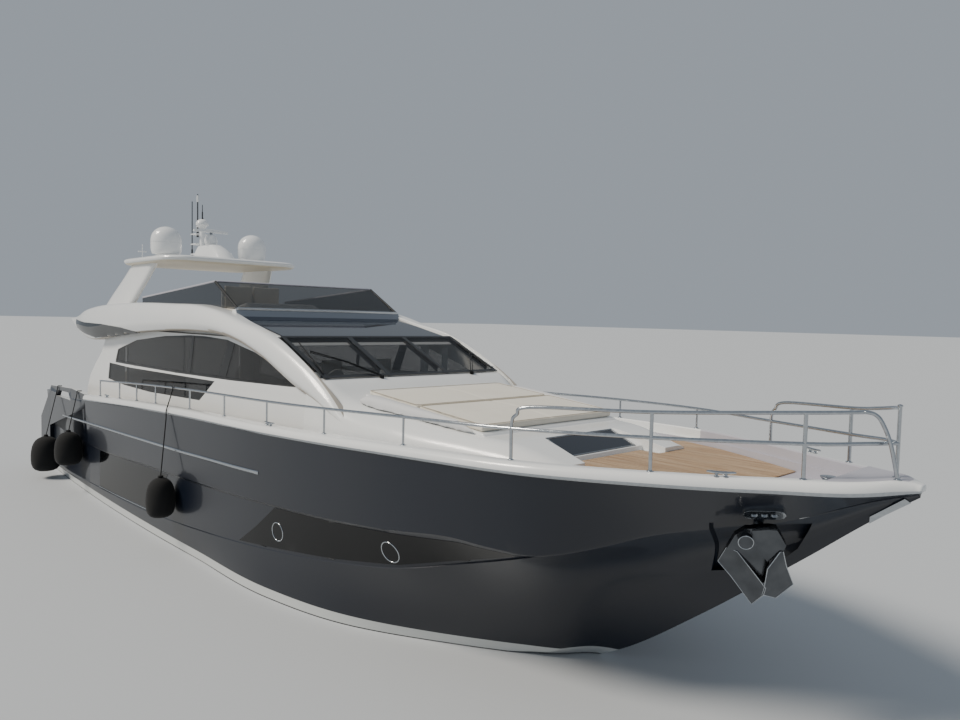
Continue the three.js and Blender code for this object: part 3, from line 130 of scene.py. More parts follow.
# ---- Hull: glass-fibre moulding with a flared bow and two knuckle lines along its topsides, sprayed
# in gloss anthracite polyurethane, a white boot stripe at the water and dark antifouling under it.
# The stations are those of the CAD hull, with the row at x 8.3 faired by up to 70 mm and a curve
# between the chine and the lower knuckle.
HULL_STATIONS = [
    # x, keel z, chine y z, flare y z, lower knuckle y z, upper knuckle y z, sheer y z
    (-12.200, -0.620, 2.640, -0.060, 2.700, 0.120, 2.760, 0.340, 2.800, 1.600, 2.860, 2.640),
    (-9.000, -0.820, 2.830, -0.090, 2.850, 0.120, 2.890, 0.330, 2.930, 1.510, 3.000, 2.660),
    (-6.000, -0.960, 2.940, -0.090, 2.950, 0.150, 2.960, 0.385, 2.990, 1.490, 3.075, 2.800),
    (-3.000, -1.070, 2.980, -0.060, 2.985, 0.200, 2.995, 0.470, 3.025, 1.620, 3.110, 2.950),
    (0.000, -1.120, 2.940, 0.010, 2.965, 0.330, 2.990, 0.660, 3.040, 1.715, 3.120, 3.060),
    (3.000, -1.090, 2.870, -0.040, 2.885, 0.450, 2.900, 0.930, 2.985, 1.835, 3.095, 3.120),
    (5.000, -0.960, 2.430, -0.020, 2.540, 0.560, 2.700, 1.150, 2.865, 1.935, 3.000, 3.175),
    (6.500, -0.720, 1.700, 0.020, 2.040, 0.700, 2.470, 1.390, 2.720, 2.050, 2.885, 3.225),
    (7.800, -0.330, 0.920, 0.060, 1.420, 0.860, 2.170, 1.740, 2.510, 2.180, 2.715, 3.255),
    (8.300, -0.119, 0.660, 0.200, 1.260, 1.130, 2.149, 1.895, 2.384, 2.155, 2.635, 3.264),
    (8.900, 0.190, 0.620, 1.130, 1.130, 1.660, 2.080, 2.090, 2.170, 2.150, 2.500, 3.275),
    (10.300, 1.200, 0.330, 1.830, 0.620, 2.200, 1.190, 2.560, 1.260, 2.620, 1.890, 3.300),
    (11.700, 2.350, 0.150, 2.600, 0.280, 2.760, 0.560, 2.930, 0.600, 2.960, 1.070, 3.335),
    (12.600, 3.105, 0.050, 3.190, 0.090, 3.235, 0.170, 3.290, 0.190, 3.305, 0.460, 3.380),
    (12.960, 3.370, 0.010, 3.385, 0.015, 3.392, 0.022, 3.402, 0.025, 3.408, 0.070, 3.430),
]
KNUCKLE_STEP, KNUCKLE_TIP_X, LEDGE = 0.055, 8.9, 0.012
TRANSOM_X, STEM_X, WELL_STEP_X, WELL_BOW_X = -12.2, 12.96, 3.6, 12.15
MAIN_DECK_Z, FOREDECK_Z = 2.45, 3.18


def smooth_rows(rows, xs):
    """Rows that start with x, resampled at other x along a smooth curve through them."""
    def secant(k, c):
        return (rows[k + 1][c] - rows[k][c]) / (rows[k + 1][0] - rows[k][0])

    def slope(k, c):
        if k == 0:
            return secant(0, c)
        if k == len(rows) - 1:
            return secant(k - 1, c)
        before, after = rows[k][0] - rows[k - 1][0], rows[k + 1][0] - rows[k][0]
        return (secant(k - 1, c) * after + secant(k, c) * before) / (before + after)

    made = []
    for x in xs:
        k = 0
        while k < len(rows) - 2 and rows[k + 1][0] < x:
            k += 1
        run = rows[k + 1][0] - rows[k][0]
        t = (x - rows[k][0]) / run
        ease = t * t * (3 - 2 * t)
        made.append([x] + [rows[k][c] * (1 - ease) + rows[k + 1][c] * ease
            + run * t * (1 - t) * (slope(k, c) * (1 - t) - slope(k + 1, c) * t)
            for c in range(1, len(rows[0]))])
    return made


def steps(start, stop, count):
    return [start + (stop - start) * i / (count - 1) for i in range(count)]


def curve_through(points, each):
    """A smooth curve through points of any dimension, with so many segments between each two."""
    vectors = [Vector(p) for p in points]
    ends = [vectors[0] * 2 - vectors[1]] + vectors + [vectors[-1] * 2 - vectors[-2]]
    made = []
    for i in range(1, len(ends) - 2):
        a, b, c, d = ends[i - 1 : i + 3]
        for step in range(each):
            t = step / each
            made.append(0.5 * (2 * b + (c - a) * t + (2 * a - 5 * b + 4 * c - d) * t * t
                + (3 * b - a - 3 * c + d) * t * t * t))
    return made + [vectors[-1]]


def hull_row(x):
    return smooth_rows(HULL_STATIONS, [x])[0]


def sheer(x):
    row = hull_row(x)
    return row[10], row[11]


def knuckle_step(x):
    """Depth of the ledge under the upper knuckle, which runs out towards the bow panes' tips."""
    return KNUCKLE_STEP * min(max((KNUCKLE_TIP_X - x) / 0.7, 0), 1)


def topside_y(x, z):
    """Half-breadth of the topsides at a height between the lower knuckle and the sheer."""
    row = hull_row(x)
    step = knuckle_step(x)
    if z > row[9]:
        return row[8] + (row[10] - row[8]) * (z - row[9]) / (row[11] - row[9])
    foot_y, foot_z, head_y, head_z = row[6] - LEDGE, row[7] + 0.014, row[8] - step, row[9] - step
    return foot_y + (head_y - foot_y) * (z - foot_z) / (head_z - foot_z)


def shaded(mesh, smooth_under):
    """Edges that turn less than smooth_under degrees shade smoothly, and the rest stay sharp."""
    mesh.polygons.foreach_set("use_smooth", [True] * len(mesh.polygons))
    mesh.set_sharp_from_angle(angle=math.radians(smooth_under))


def object_from(name, vertices, faces, smooth_under=35, merge=0.0):
    """A mesh object at the origin, with its normals outwards and points nearer than merge joined."""
    mesh = bpy.data.meshes.new(name)
    mesh.from_pydata([tuple(v) for v in vertices], [], faces)
    work = bmesh.new()
    work.from_mesh(mesh)
    if merge:
        bmesh.ops.remove_doubles(work, verts=work.verts, dist=merge)
        bmesh.ops.dissolve_degenerate(work, edges=work.edges, dist=merge)
    bmesh.ops.recalc_face_normals(work, faces=work.faces)
    work.to_mesh(mesh)
    work.free()
    shaded(mesh, smooth_under)
    return placed(name, mesh)


def tube_faces(rings, count):
    """The faces of a tube of so many rings, each of count points, with its two ends closed."""
    faces = []
    for r in range(rings - 1):
        for i in range(count):
            j = (i + 1) % count
            faces.append((r * count + i, r * count + j, (r + 1) * count + j, (r + 1) * count + i))
    return faces + [tuple(range(count)), tuple((rings - 1) * count + i for i in range(count))]


def loft(name, rings, smooth_under=35, merge=0.0):
    """A closed skin through rings of equal point count."""
    points = [point for ring in rings for point in ring]
    return object_from(name, points, tube_faces(len(rings), len(rings[0])), smooth_under, merge)


def fit(piece, surface, body="root", replaces=()):
    """Paints a finished piece and hangs it on its body of the frame."""
    piece.data.materials.clear()
    piece.data.materials.append(surface)
    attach(piece, body)
    if replaces:
        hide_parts(*replaces)
    return piece


MERGE_UNDER, FLAT_DEGREES = 0.00005, 0.5


def merged_copy(node, name, smooth_under=30):
    """A node's loose triangles as one joined mesh, with the cuts between flat faces taken out."""
    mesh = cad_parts[node].data.copy()
    mesh.name = name
    mesh.materials.clear()
    work = bmesh.new()
    work.from_mesh(mesh)
    bmesh.ops.remove_doubles(work, verts=work.verts, dist=MERGE_UNDER)
    bmesh.ops.dissolve_limit(work, angle_limit=math.radians(FLAT_DEGREES), verts=work.verts, edges=work.edges,
        delimit={"NORMAL"})
    work.to_mesh(mesh)
    work.free()
    for layer in list(mesh.color_attributes):
        mesh.color_attributes.remove(layer)
    shaded(mesh, smooth_under)
    return placed(name, mesh)


def softened(piece, width, segments=2, over=30):
    """Rounds a moulding's corners, as a mould does."""
    edge = piece.modifiers.new("rounding", "BEVEL")
    edge.width = width
    edge.segments = segments
    edge.limit_method = "ANGLE"
    edge.angle_limit = math.radians(over)
    edge.harden_normals = True
    edge.use_clamp_overlap = True
    return piece


# Sprayed polyurethane topcoat over fairing: deep anthracite with fine metal flake under a clear coat.
# It mirrors its surroundings sharply, with a faint long unfairness that bends the reflections.
hull_paint, tree, shader = finish("polyurethane_topcoat_anthracite", {
    "Roughness": 0.35, "Specular IOR Level": 0.4, "Coat Weight": 0.45, "Coat Roughness": 0.05, "IOR": 1.45})
place = add(tree, "ShaderNodeTexCoord")["Object"]
height = add(tree, "ShaderNodeSeparateXYZ", inputs={"Vector": place})["Z"]
BOOT_FOOT_Z, BOOT_HEAD_Z, BOOT_BLEND = 0.02, 0.19, 0.003
in_stripe, over_stripe = [add(tree, "ShaderNodeMapRange", inputs={"Value": height, 1: edge - BOOT_BLEND,
    2: edge + BOOT_BLEND})["Result"] for edge in (BOOT_FOOT_Z, BOOT_HEAD_Z)]
flake = add(tree, "ShaderNodeTexNoise", inputs={"Vector": place, "Scale": 900.0, "Detail": 1.0})["Fac"]
topcoat = add(tree, "ShaderNodeMix", {"data_type": "RGBA"}, {"Factor": flake, 6: linear("0b101a"),
    7: linear("161d2b")})[2]
stripe = add(tree, "ShaderNodeMix", {"data_type": "RGBA"}, {"Factor": in_stripe, 6: linear("101620"),
    7: linear("c9cccb")})[2]
banded = add(tree, "ShaderNodeMix", {"data_type": "RGBA"}, {"Factor": over_stripe, 6: stripe,
    7: topcoat})[2]
tree.links.new(banded, shader.inputs["Base Color"])
unfair = add(tree, "ShaderNodeTexNoise", inputs={"Vector": place, "Scale": 0.9, "Detail": 1.0})["Fac"]
ripple = add(tree, "ShaderNodeBump", inputs={"Height": unfair, "Strength": 0.25, "Distance": 0.012})
tree.links.new(ripple["Normal"], shader.inputs["Normal"])
tree.links.new(ripple["Normal"], shader.inputs["Coat Normal"])

QUARTER_X = -7.45
BULWARK_IN, WELL_IN, WELL_SKIN = 0.13, 0.24, 0.06
SPAN = 6  # segments between two neighbouring points of a station


def hull_section(row, deck):
    """Half a section from the keel up over the bulwark to the middle of the deck."""
    x, keel_z, chine_y, chine_z, flare_y, flare_z, low_y, low_z, high_y, high_z, top_y, top_z = row
    step = knuckle_step(x)
    half = [(chine_y * i / SPAN, keel_z + (chine_z - keel_z) * i / SPAN) for i in range(SPAN)]
    half += [tuple(p) for p in curve_through([(chine_y, chine_z), (flare_y, flare_z), (low_y, low_z)], SPAN)]
    fade = min(max((x - KNUCKLE_TIP_X + 0.3) / 1.2, 0), 1)
    ledge = LEDGE * (1 - fade)
    foot, head = (low_y - ledge, low_z + 1.2 * ledge), (high_y - step, high_z - step)
    side = [(foot[0] + (head[0] - foot[0]) * i / (SPAN - 1), foot[1] + (head[1] - foot[1]) * i / (SPAN - 1))
        for i in range(SPAN)]
    side += [(high_y + (top_y - high_y) * i / SPAN, high_z + (top_z - high_z) * i / SPAN) for i in range(SPAN + 1)]
    # Ahead of the panes the two knuckles fade into one flare from the chine to the sheer.
    faired = curve_through([foot, (high_y, high_z), (top_y, top_z)], SPAN)
    half += [(max(y + (fair.x - y) * fade, 0.002), z + (fair.y - z) * fade) for (y, z), fair in zip(side, faired)]
    if deck == "main":
        inner, floor_z = top_y - BULWARK_IN, MAIN_DECK_Z
        foot_y = inner
    elif deck == "fore":
        inner, floor_z = top_y - WELL_IN, min(FOREDECK_Z, top_z)
        foot_y = min(inner, topside_y(x, max(floor_z, high_z + 0.001)) - WELL_SKIN)
    else:
        inner = foot_y = max(top_y - WELL_IN, 0.01)
        floor_z = top_z
    half += [(inner, top_z), (inner, max(top_z - 0.02, floor_z)), (foot_y, floor_z), (foot_y / 2, floor_z)]
    return [(x, y, z) for y, z in half], (x, 0, floor_z)


def hull_ring(row, deck):
    port, middle = hull_section(row, deck)
    starboard = [(x, -y, z) for x, y, z in port[:0:-1]]
    return port + [middle] + starboard


xs = steps(QUARTER_X, WELL_STEP_X, 56)
rings = [hull_ring(hull_row(x), "main") for x in xs]
rings += [hull_ring(hull_row(x), "fore") for x in [WELL_STEP_X] + steps(WELL_STEP_X, WELL_BOW_X, 90)[1:]]
rings += [hull_ring(hull_row(x), "solid") for x in [WELL_BOW_X] + steps(WELL_BOW_X, STEM_X, 14)[1:]]
HULL_SMOOTH = 24
topsides = loft("hull_topsides", rings, smooth_under=HULL_SMOOTH, merge=0.0004)

# The quarters, with their stairs, wings and garage opening, are cast in one with the transom.
quarters = merged_copy("hull", "hull_quarters", smooth_under=HULL_SMOOTH)
work = bmesh.new()
work.from_mesh(quarters.data)
trim = bmesh.ops.bisect_plane(work, geom=work.verts[:] + work.edges[:] + work.faces[:],
    plane_co=(QUARTER_X, 0, 0), plane_no=(1, 0, 0), clear_outer=True)
rim = [e for e in trim["geom_cut"] if isinstance(e, bmesh.types.BMEdge)]
bmesh.ops.edgeloop_fill(work, edges=rim)
work.to_mesh(quarters.data)
work.free()
quarters.data.set_sharp_from_angle(angle=math.radians(HULL_SMOOTH))

# Pocket in the starboard bow flare that the anchor houses into
POCKET_OUTLINE = [(10.56, 1.95), (10.90, 2.815), (11.88, 2.89), (11.64, 2.48), (11.28, 2.12)]
POCKET_DEEP, POCKET_LEAST = 0.11, 0.06


def solid_prism(name, outline, axis, low, high):
    """A closed prism; its outline is (x, z) along Y, (x, y) along Z or (y, z) along X."""
    def corner(u, v, w):
        return {"y": (u, w, v), "z": (u, v, w), "x": (w, u, v)}[axis]

    count = len(outline)
    vertices = [corner(u, v, w) for w in (low, high) for u, v in outline]
    faces = [tuple(range(count)), tuple(range(count, 2 * count))]
    faces += [(i, (i + 1) % count, count + (i + 1) % count, count + i) for i in range(count)]
    return object_from(name, vertices, faces)


def settled(piece, smooth_under):
    """The piece with its modifiers applied."""
    bpy.context.view_layer.update()
    evaluated = piece.evaluated_get(bpy.context.evaluated_depsgraph_get())
    mesh = bpy.data.meshes.new_from_object(evaluated)
    piece.modifiers.clear()
    old, piece.data = piece.data, mesh
    mesh.name = piece.name
    bpy.data.meshes.remove(old)
    shaded(mesh, smooth_under)
    return piece


def carve(piece, cutter, operation="DIFFERENCE"):
    """Cuts one solid with another for good, and drops the cutter."""
    knife = piece.modifiers.new("carve", "BOOLEAN")
    knife.operation = operation
    knife.solver = "EXACT"
    knife.object = cutter
    settled(piece, HULL_SMOOTH)
    bpy.data.meshes.remove(cutter.data)
    return piece


def narrowed(ring, by, least):
    """A section of the hull, drawn in on both sides towards the centreline."""
    return [(x, math.copysign(max(abs(y) - by, min(abs(y), least)), y) if y else 0.0, z) for x, y, z in ring]


pocket_floor = loft("pocket_floor", [narrowed(ring, POCKET_DEEP, POCKET_LEAST)
    for ring in rings if ring[0][0] > 10.2], merge=0.0002)
pocket = solid_prism("pocket", POCKET_OUTLINE, "y", -3.3, -0.05)
carve(pocket, pocket_floor)
carve(topsides, pocket)


def mottled(tree, shader, place, cloud, dark, light):
    """Shades a surface between two colours in clouds of (scale, detail). Returns the clouds."""
    clouds = add(tree, "ShaderNodeTexNoise", inputs={"Vector": place, "Scale": cloud[0], "Detail": cloud[1]})["Fac"]
    tone = add(tree, "ShaderNodeMix", {"data_type": "RGBA"}, {"Factor": clouds, 6: linear(dark),
        7: linear(light)})[2]
    tree.links.new(tone, shader.inputs["Base Color"])
    return clouds


# White gelcoat of the decks and bulwark linings, which meets the paint at the sheer: moulded in a
# polished mould, so it is glossy, with a slight orange peel.
gelcoat_white, tree, shader = finish("polished_gelcoat_white", {
    "Roughness": 0.24, "Coat Weight": 0.35, "Coat Roughness": 0.08, "IOR": 1.5})
place = add(tree, "ShaderNodeTexCoord")["Object"]
mottled(tree, shader, place, (0.8, 3.0), "e4e6e6", "eff0ef")
peel = add(tree, "ShaderNodeTexNoise", inputs={"Vector": place, "Scale": 160.0, "Detail": 2.0})["Fac"]
peel_bump = add(tree, "ShaderNodeBump", inputs={"Height": peel, "Strength": 0.06, "Distance": 0.002})
tree.links.new(peel_bump["Normal"], shader.inputs["Normal"])

# Lilac-grey gelcoat of the bow well: left matt by its mould, so it shades softly and hardly shines.
gelcoat_lilac, tree, shader = finish("satin_gelcoat_lilac_grey", {
    "Roughness": 0.42, "Coat Weight": 0.1, "IOR": 1.5})
place = add(tree, "ShaderNodeTexCoord")["Object"]
mottled(tree, shader, place, (1.4, 3.0), "a9a8b2", "b8b7c0")


def paint_faces(piece, surfaces, choose):
    """Gives each face the surface whose number choose() returns for its middle and normal."""
    piece.data.materials.clear()
    for surface in surfaces:
        piece.data.materials.append(surface)
    for face in piece.data.polygons:
        face.material_index = choose(face.center, face.normal)


TRANSOM_IN_X, LILAC_FROM_X = -11.9, 8.9


def hull_side(middle, normal):
    """Dark paint 0 outside, white gelcoat 1 on decks and linings, lilac-grey 2 at the bow."""
    x, y, z = middle
    if x > TRANSOM_IN_X and normal.z > 0.6 and z > 2.2:
        return 2 if x > LILAC_FROM_X and z > 3.1 else 1
    deep = FOREDECK_Z - 0.05 if x > WELL_STEP_X else MAIN_DECK_Z - 0.15
    inside = abs(y) < sheer(min(max(x, TRANSOM_X), 12.9))[0] - 0.05 and TRANSOM_IN_X < x < 12.4 and z > deep
    facing_in = y * normal.y < 0 or abs(normal.x) > 0.7
    if inside and facing_in:
        return 2 if x > 3.5 else 1
    return 0


for part in (topsides, quarters):
    fit(part, hull_paint)
    paint_faces(part, (hull_paint, gelcoat_white, gelcoat_lilac), hull_side)
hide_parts("hull")
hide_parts("hull")


# ---- Hull glazing: long panes of black-tinted glass bonded into the band between the knuckles, two
# on each side. The bow panes carry two round opening ports each, in stainless rims.
# Glass tinted black through and through: it shows no inside, only a sharp faint mirror.
hull_glass = finish("tinted_bonded_glass_black", {
    "Base Color": linear("050608"), "Roughness": 0.05, "IOR": 1.45, "Specular IOR Level": 0.4})[0]
BOW_PANE = [(2.0, 0.88), (2.65, 1.29), (3.35, 1.79), (5.0, 1.88), (6.5, 1.985), (7.8, 2.105),
    (8.78, 2.09), (7.8, 1.8), (6.5, 1.45), (5.0, 1.215), (3.0, 0.99)]
AFT_PANE = [(-6.5, 0.42), (-6.5, 1.42), (-3.0, 1.545), (-1.5, 1.59), (-2.3, 0.545)]


def draped_pane(name, outline, out_y, thick, cell=0.2):
    """A pane cut to an (x, z) outline, in cells small enough to bend it onto y = out_y(x, z)."""
    work = bmesh.new()
    work.faces.new([work.verts.new((x, 0, z)) for x, z in outline])
    low_x, high_x = min(p[0] for p in outline), max(p[0] for p in outline)
    low_z, high_z = min(p[1] for p in outline), max(p[1] for p in outline)
    for axis, low, high in ((0, low_x, high_x), (2, low_z, high_z)):
        at = low + cell
        while at < high - 0.01:
            spot, direction = [0, 0, 0], [0, 0, 0]
            spot[axis], direction[axis] = at, 1
            bmesh.ops.bisect_plane(work, geom=work.verts[:] + work.edges[:] + work.faces[:],
                plane_co=spot, plane_no=direction)
            at += cell
    bmesh.ops.triangulate(work, faces=[f for f in work.faces if len(f.verts) > 4])
    for vertex in work.verts:
        vertex.co.y = out_y(vertex.co.x, vertex.co.z)
    bmesh.ops.recalc_face_normals(work, faces=work.faces)
    side = 1 if out_y(low_x + 0.01, (low_z + high_z) / 2) > 0 else -1
    if sum(f.normal.y * side * f.calc_area() for f in work.faces) < 0:
        bmesh.ops.reverse_faces(work, faces=work.faces)
    mesh = bpy.data.meshes.new(name)
    work.to_mesh(mesh)
    work.free()
    made = placed(name, mesh)
    body = made.modifiers.new("thickness", "SOLIDIFY")
    body.thickness = thick
    body.offset = -1
    return settled(made, 40)


PANE_PROUD = 0.004
HANDS = ((-1, "starboard"), (1, "port"))
for side, hand in HANDS:
    for label, outline in (("bow", BOW_PANE), ("aft", AFT_PANE)):
        pane = draped_pane(f"hull_pane_{label}_{hand}", outline,
            lambda x, z, s=side: s * (topside_y(x, z) + PANE_PROUD), 0.02)
        fit(pane, hull_glass, replaces=(f"hull_window_{label}_{hand}",))


# ---- Bulwark cap: a white glass-fibre moulding, rounded outboard and screwed over the bulwark from
# the quarters to the stem head. Its lowest outer faces are painted polished stainless, a grey band of painted shade
# along its foot.
CAP_AFT_X, CAP_HEIGHT, CAP_OUT, CAP_IN, BOW_X = -7.5, 0.17, 0.04, 0.2, 13.0
CAP_LIFT, CAP_ROUND, DROOP_X = 0.0004, 0.02, 12.7
# How far in from the widest line, and how far up of the cap's height
CAP_FACE = [(-0.035, 0.0), (-0.012, 0.1), (0.0, 0.28), (-0.001, 0.42), (-0.008, 0.6), (-0.028, 0.8),
    (-0.058, 0.93), (-0.09, 0.99), (-0.115, 1.0)]
# Share of the cap's height, from its foot, painted polished stainless as the shade under its rounded edge
SHADED_FOOT_SHARE = 0.27


def cap_high(x):
    return CAP_HEIGHT * (1 - 0.4 * (max(x - DROOP_X, 0) / (STEM_X - DROOP_X)) ** 1.5)


def cap_top(x):
    return sheer(x)[1] + CAP_LIFT + cap_high(x)


def cap_face(x):
    y, z = sheer(x)
    near = min(1.0, (y + CAP_OUT) / 0.2)
    return [(x, y + CAP_OUT + out * near, z + CAP_LIFT + up * cap_high(x)) for out, up in CAP_FACE]


def cap_arm(x, side):
    y, z = sheer(x)
    inner = y - CAP_IN
    ring = cap_face(x) + [(x, inner + CAP_ROUND, cap_top(x)), (x, inner, cap_top(x) - CAP_ROUND),
        (x, inner, z + CAP_LIFT)]
    return [(px, py * side, pz) for px, py, pz in ring]


def joined(name, parts):
    """Several meshes as one, each kept as its own shell."""
    work = bmesh.new()
    for part in parts:
        work.from_mesh(part.data)
        bpy.data.meshes.remove(part.data)
    mesh = bpy.data.meshes.new(name)
    work.to_mesh(mesh)
    work.free()
    return placed(name, mesh)


arm_xs = steps(CAP_AFT_X, WELL_BOW_X + 0.005, 120)
arms = [loft(f"cap_arm_{side}", [cap_arm(x, side) for x in arm_xs]) for side in (-1, 1)]
bow_rings = [cap_face(x) + [(px, -py, pz) for px, py, pz in cap_face(x)[::-1]]
    for x in steps(WELL_BOW_X, STEM_X, 26)]
# The cap is rounded off at the stem head: its last ring shrinks towards the nose's middle height.
last_ring, nose_z = bow_rings[-1], sheer(STEM_X)[1] + 0.062
for part in (0.3, 0.55, 0.8, 1.0):
    turn = part * math.pi / 2
    shrink = 0.4 + 0.6 * math.cos(turn)
    bow_rings.append([(STEM_X + (BOW_X - STEM_X) * math.sin(turn), y * shrink, nose_z + (z - nose_z) * shrink)
        for _, y, z in last_ring])
cap = joined("sheer_cap", arms + [loft("cap_bow", bow_rings)])

# Mirror-polished AISI 316 with the fine wipe marks that salt and cloths leave
steel_polished, tree, shader = finish("stainless_316_polished", {"Metallic": 1.0, "Roughness": 0.16})
place = add(tree, "ShaderNodeTexCoord")["Object"]
wiped = mottled(tree, shader, place, (22.0, 4.0), "a3a8ad", "c8ccd0")
gloss = add(tree, "ShaderNodeMapRange", inputs={"Value": wiped, 3: 0.1, 4: 0.26})["Result"]
tree.links.new(gloss, shader.inputs["Roughness"])


def cap_side(middle, normal):
    """White gelcoat 0, polished stainless 1 painted along the foot as its shade, lilac-grey 2 inboard at the bow."""
    x, y, z = middle
    foot_y, foot_z = sheer(min(max(x, TRANSOM_X), STEM_X))
    low = z - foot_z < SHADED_FOOT_SHARE * cap_high(min(x, STEM_X))
    # The lowest outboard faces take polished stainless as painted shade
    if low and abs(y) > foot_y - 0.02 and normal.z > -0.95:
        return 1
    return 2 if x > LILAC_FROM_X and abs(y) < foot_y - 0.17 else 0


fit(cap, gelcoat_white, replaces=("sheer_cap",))
paint_faces(cap, (gelcoat_white, steel_polished, gelcoat_lilac), cap_side)


# ---- Decks: solid teak planks 60 mm wide, laid fore and aft on the glass-fibre decks and payed with
# black caulking. Salt and sun have bleached them to a pale orange-brown.
PLANK_PITCH, CAULK_SHARE = 0.066, 0.11
WET_TEAK, DRY_TEAK, BLEACHED_TEAK, CAULK = (linear(code) for code in ("73563d", "a98763", "c9b296", "17181a"))


def planked(name, axis):
    """Teak planks side by side along one Object axis, with caulk between them."""
    surface, tree, shader = finish(name, {"Roughness": 0.68, "IOR": 1.45})
    place = add(tree, "ShaderNodeTexCoord")["Object"]
    across = add(tree, "ShaderNodeSeparateXYZ", inputs={"Vector": place})[axis]
    count = add(tree, "ShaderNodeMath", {"operation": "DIVIDE"}, {0: across, 1: PLANK_PITCH})[0]
    number = add(tree, "ShaderNodeMath", {"operation": "FLOOR"}, {0: count})[0]
    share = add(tree, "ShaderNodeMath", {"operation": "FRACT"}, {0: count})[0]
    tint = add(tree, "ShaderNodeTexWhiteNoise", {"noise_dimensions": "1D"}, {"W": number})["Value"]
    stretch = (4.0, 90.0, 90.0) if axis == 1 else (90.0, 4.0, 90.0)
    laid = add(tree, "ShaderNodeVectorMath", {"operation": "MULTIPLY"}, {0: place, 1: stretch})[0]
    grain = add(tree, "ShaderNodeTexNoise", inputs={"Vector": laid, "Scale": 1.0, "Detail": 6.0})["Fac"]
    worn_at = add(tree, "ShaderNodeVectorMath", {"operation": "MULTIPLY"}, {0: laid, 1: (0.3, 0.3, 0.3)})[0]
    weather = add(tree, "ShaderNodeTexNoise", inputs={"Vector": worn_at, "Scale": 1.0, "Detail": 5.0})["Fac"]
    dark_wood = add(tree, "ShaderNodeMix", {"data_type": "RGBA"}, {"Factor": tint, 6: WET_TEAK,
        7: DRY_TEAK})[2]
    veined = add(tree, "ShaderNodeMix", {"data_type": "RGBA"}, {"Factor": grain, 6: dark_wood,
        7: DRY_TEAK})[2]
    bleach = add(tree, "ShaderNodeMapRange", inputs={"Value": weather, 1: 0.35, 2: 0.7, 3: 0.05, 4: 0.85})
    salted = add(tree, "ShaderNodeMix", {"data_type": "RGBA"}, {"Factor": bleach["Result"], 6: veined,
        7: BLEACHED_TEAK})[2]
    seam = add(tree, "ShaderNodeMath", {"operation": "LESS_THAN"}, {0: share, 1: CAULK_SHARE})[0]
    payed = add(tree, "ShaderNodeMix", {"data_type": "RGBA"}, {"Factor": seam, 6: salted,
        7: CAULK})[2]
    tree.links.new(payed, shader.inputs["Base Color"])
    relief = add(tree, "ShaderNodeMath", {"operation": "MULTIPLY_ADD"}, {0: seam, 1: -1.0, 2: grain})[0]
    bump = add(tree, "ShaderNodeBump", inputs={"Height": relief, "Strength": 0.5, "Distance": 0.002})
    tree.links.new(bump["Normal"], shader.inputs["Normal"])
    return surface


teak_along = planked("teak_planks_fore_and_aft", 1)
teak_across = planked("teak_planks_athwart", 0)
for node in ("teak_foredeck", "teak_main_deck"):
    fit(softened(merged_copy(node, f"{node}_planks"), 0.002, 1), teak_along, replaces=(node,))


# Swim platform: white moulding with rounded edges, planked on top
platform = softened(merged_copy("swim_platform", "swim_platform_moulding"), 0.03, 4)
fit(platform, gelcoat_white, replaces=("swim_platform",))
PLATFORM_Z, PLANK_THICK, PLANK_SUNK = 0.56, 0.012, 0.004
plank_field = solid_prism("swim_platform_planks", [(-12.26, 2.38), (-12.67, 2.38), (-12.91, 2.12),
    (-12.91, -2.12), (-12.67, -2.38), (-12.26, -2.38)], "z", PLATFORM_Z - PLANK_SUNK, PLATFORM_Z + PLANK_THICK)
fit(softened(plank_field, 0.003, 1), teak_across)


def oblong(u_low, v_low, u_high, v_high):
    return [(u_low, v_low), (u_high, v_low), (u_high, v_high), (u_low, v_high)]


# Garage door in the transom: painted panel with a stainless lift handle along its foot
door = softened(merged_copy("garage_door", "garage_door_panel"), 0.004, 2)
fit(door, hull_paint, "garage_door_body", replaces=("garage_door",))
handle = solid_prism("garage_door_handle", oblong(-0.16, 0.86, 0.16, 0.9), "x", -12.204, -12.19)
fit(softened(handle, 0.005, 2), steel_polished, "garage_door_body")


# ---- Coachroof: a white moulding bonded to the foredeck ahead of the windscreen, its shoulders well
# rounded, open between two horns where a tinted skylight slopes down to a step.
COACHROOF = [
    # x, top half-breadth z, shoulder half-breadth z, foot half-breadth
    (3.601, 2.300, 4.145, 2.440, 3.960, 2.500),
    (3.870, 2.280, 4.130, 2.430, 3.935, 2.490),
    (4.450, 2.120, 3.850, 2.390, 3.660, 2.465),
    (6.000, 1.960, 3.650, 2.240, 3.460, 2.330),
    (7.500, 1.760, 3.520, 1.960, 3.380, 2.040),
    (7.980, 1.680, 3.490, 1.880, 3.350, 1.950),
    (8.950, 1.480, 3.270, 1.620, 3.225, 1.650),
]


FILLET_STEPS = 5


def filleted(corners, radii):
    """An open outline with its inner corners rounded, always with the same count of points."""
    made = [Vector(corners[0])]
    for before, corner, after, radius in zip(corners, corners[1:], corners[2:], radii):
        a, p, b = Vector(before), Vector(corner), Vector(after)
        start = p + (a - p) * min(radius / max((a - p).length, 0.001), 0.45)
        end = p + (b - p) * min(radius / max((b - p).length, 0.001), 0.45)
        for i in range(FILLET_STEPS + 1):
            t = i / FILLET_STEPS
            made.append(start * (1 - t) ** 2 + p * 2 * t * (1 - t) + end * t * t)
    return made + [Vector(corners[-1])]


def coach_ring(row):
    x, top_y, top_z, mid_y, mid_z, foot_y = row
    foot_z = min(FOREDECK_Z, sheer(x)[1]) + 0.0004
    half = filleted([(foot_y, foot_z), (mid_y, mid_z), (top_y, top_z), (0, top_z)], (0.12, 0.14))
    port = [(x, y, z) for y, z in half]
    return port + [(px, -py, pz) for px, py, pz in port[-2::-1]]


# The skylight's slope, from its aft edge (x, z) down to its fore edge
SKY_AFT, SKY_FORE, SKY_HALF = (7.98, 3.49), (8.54, 3.26), 0.84


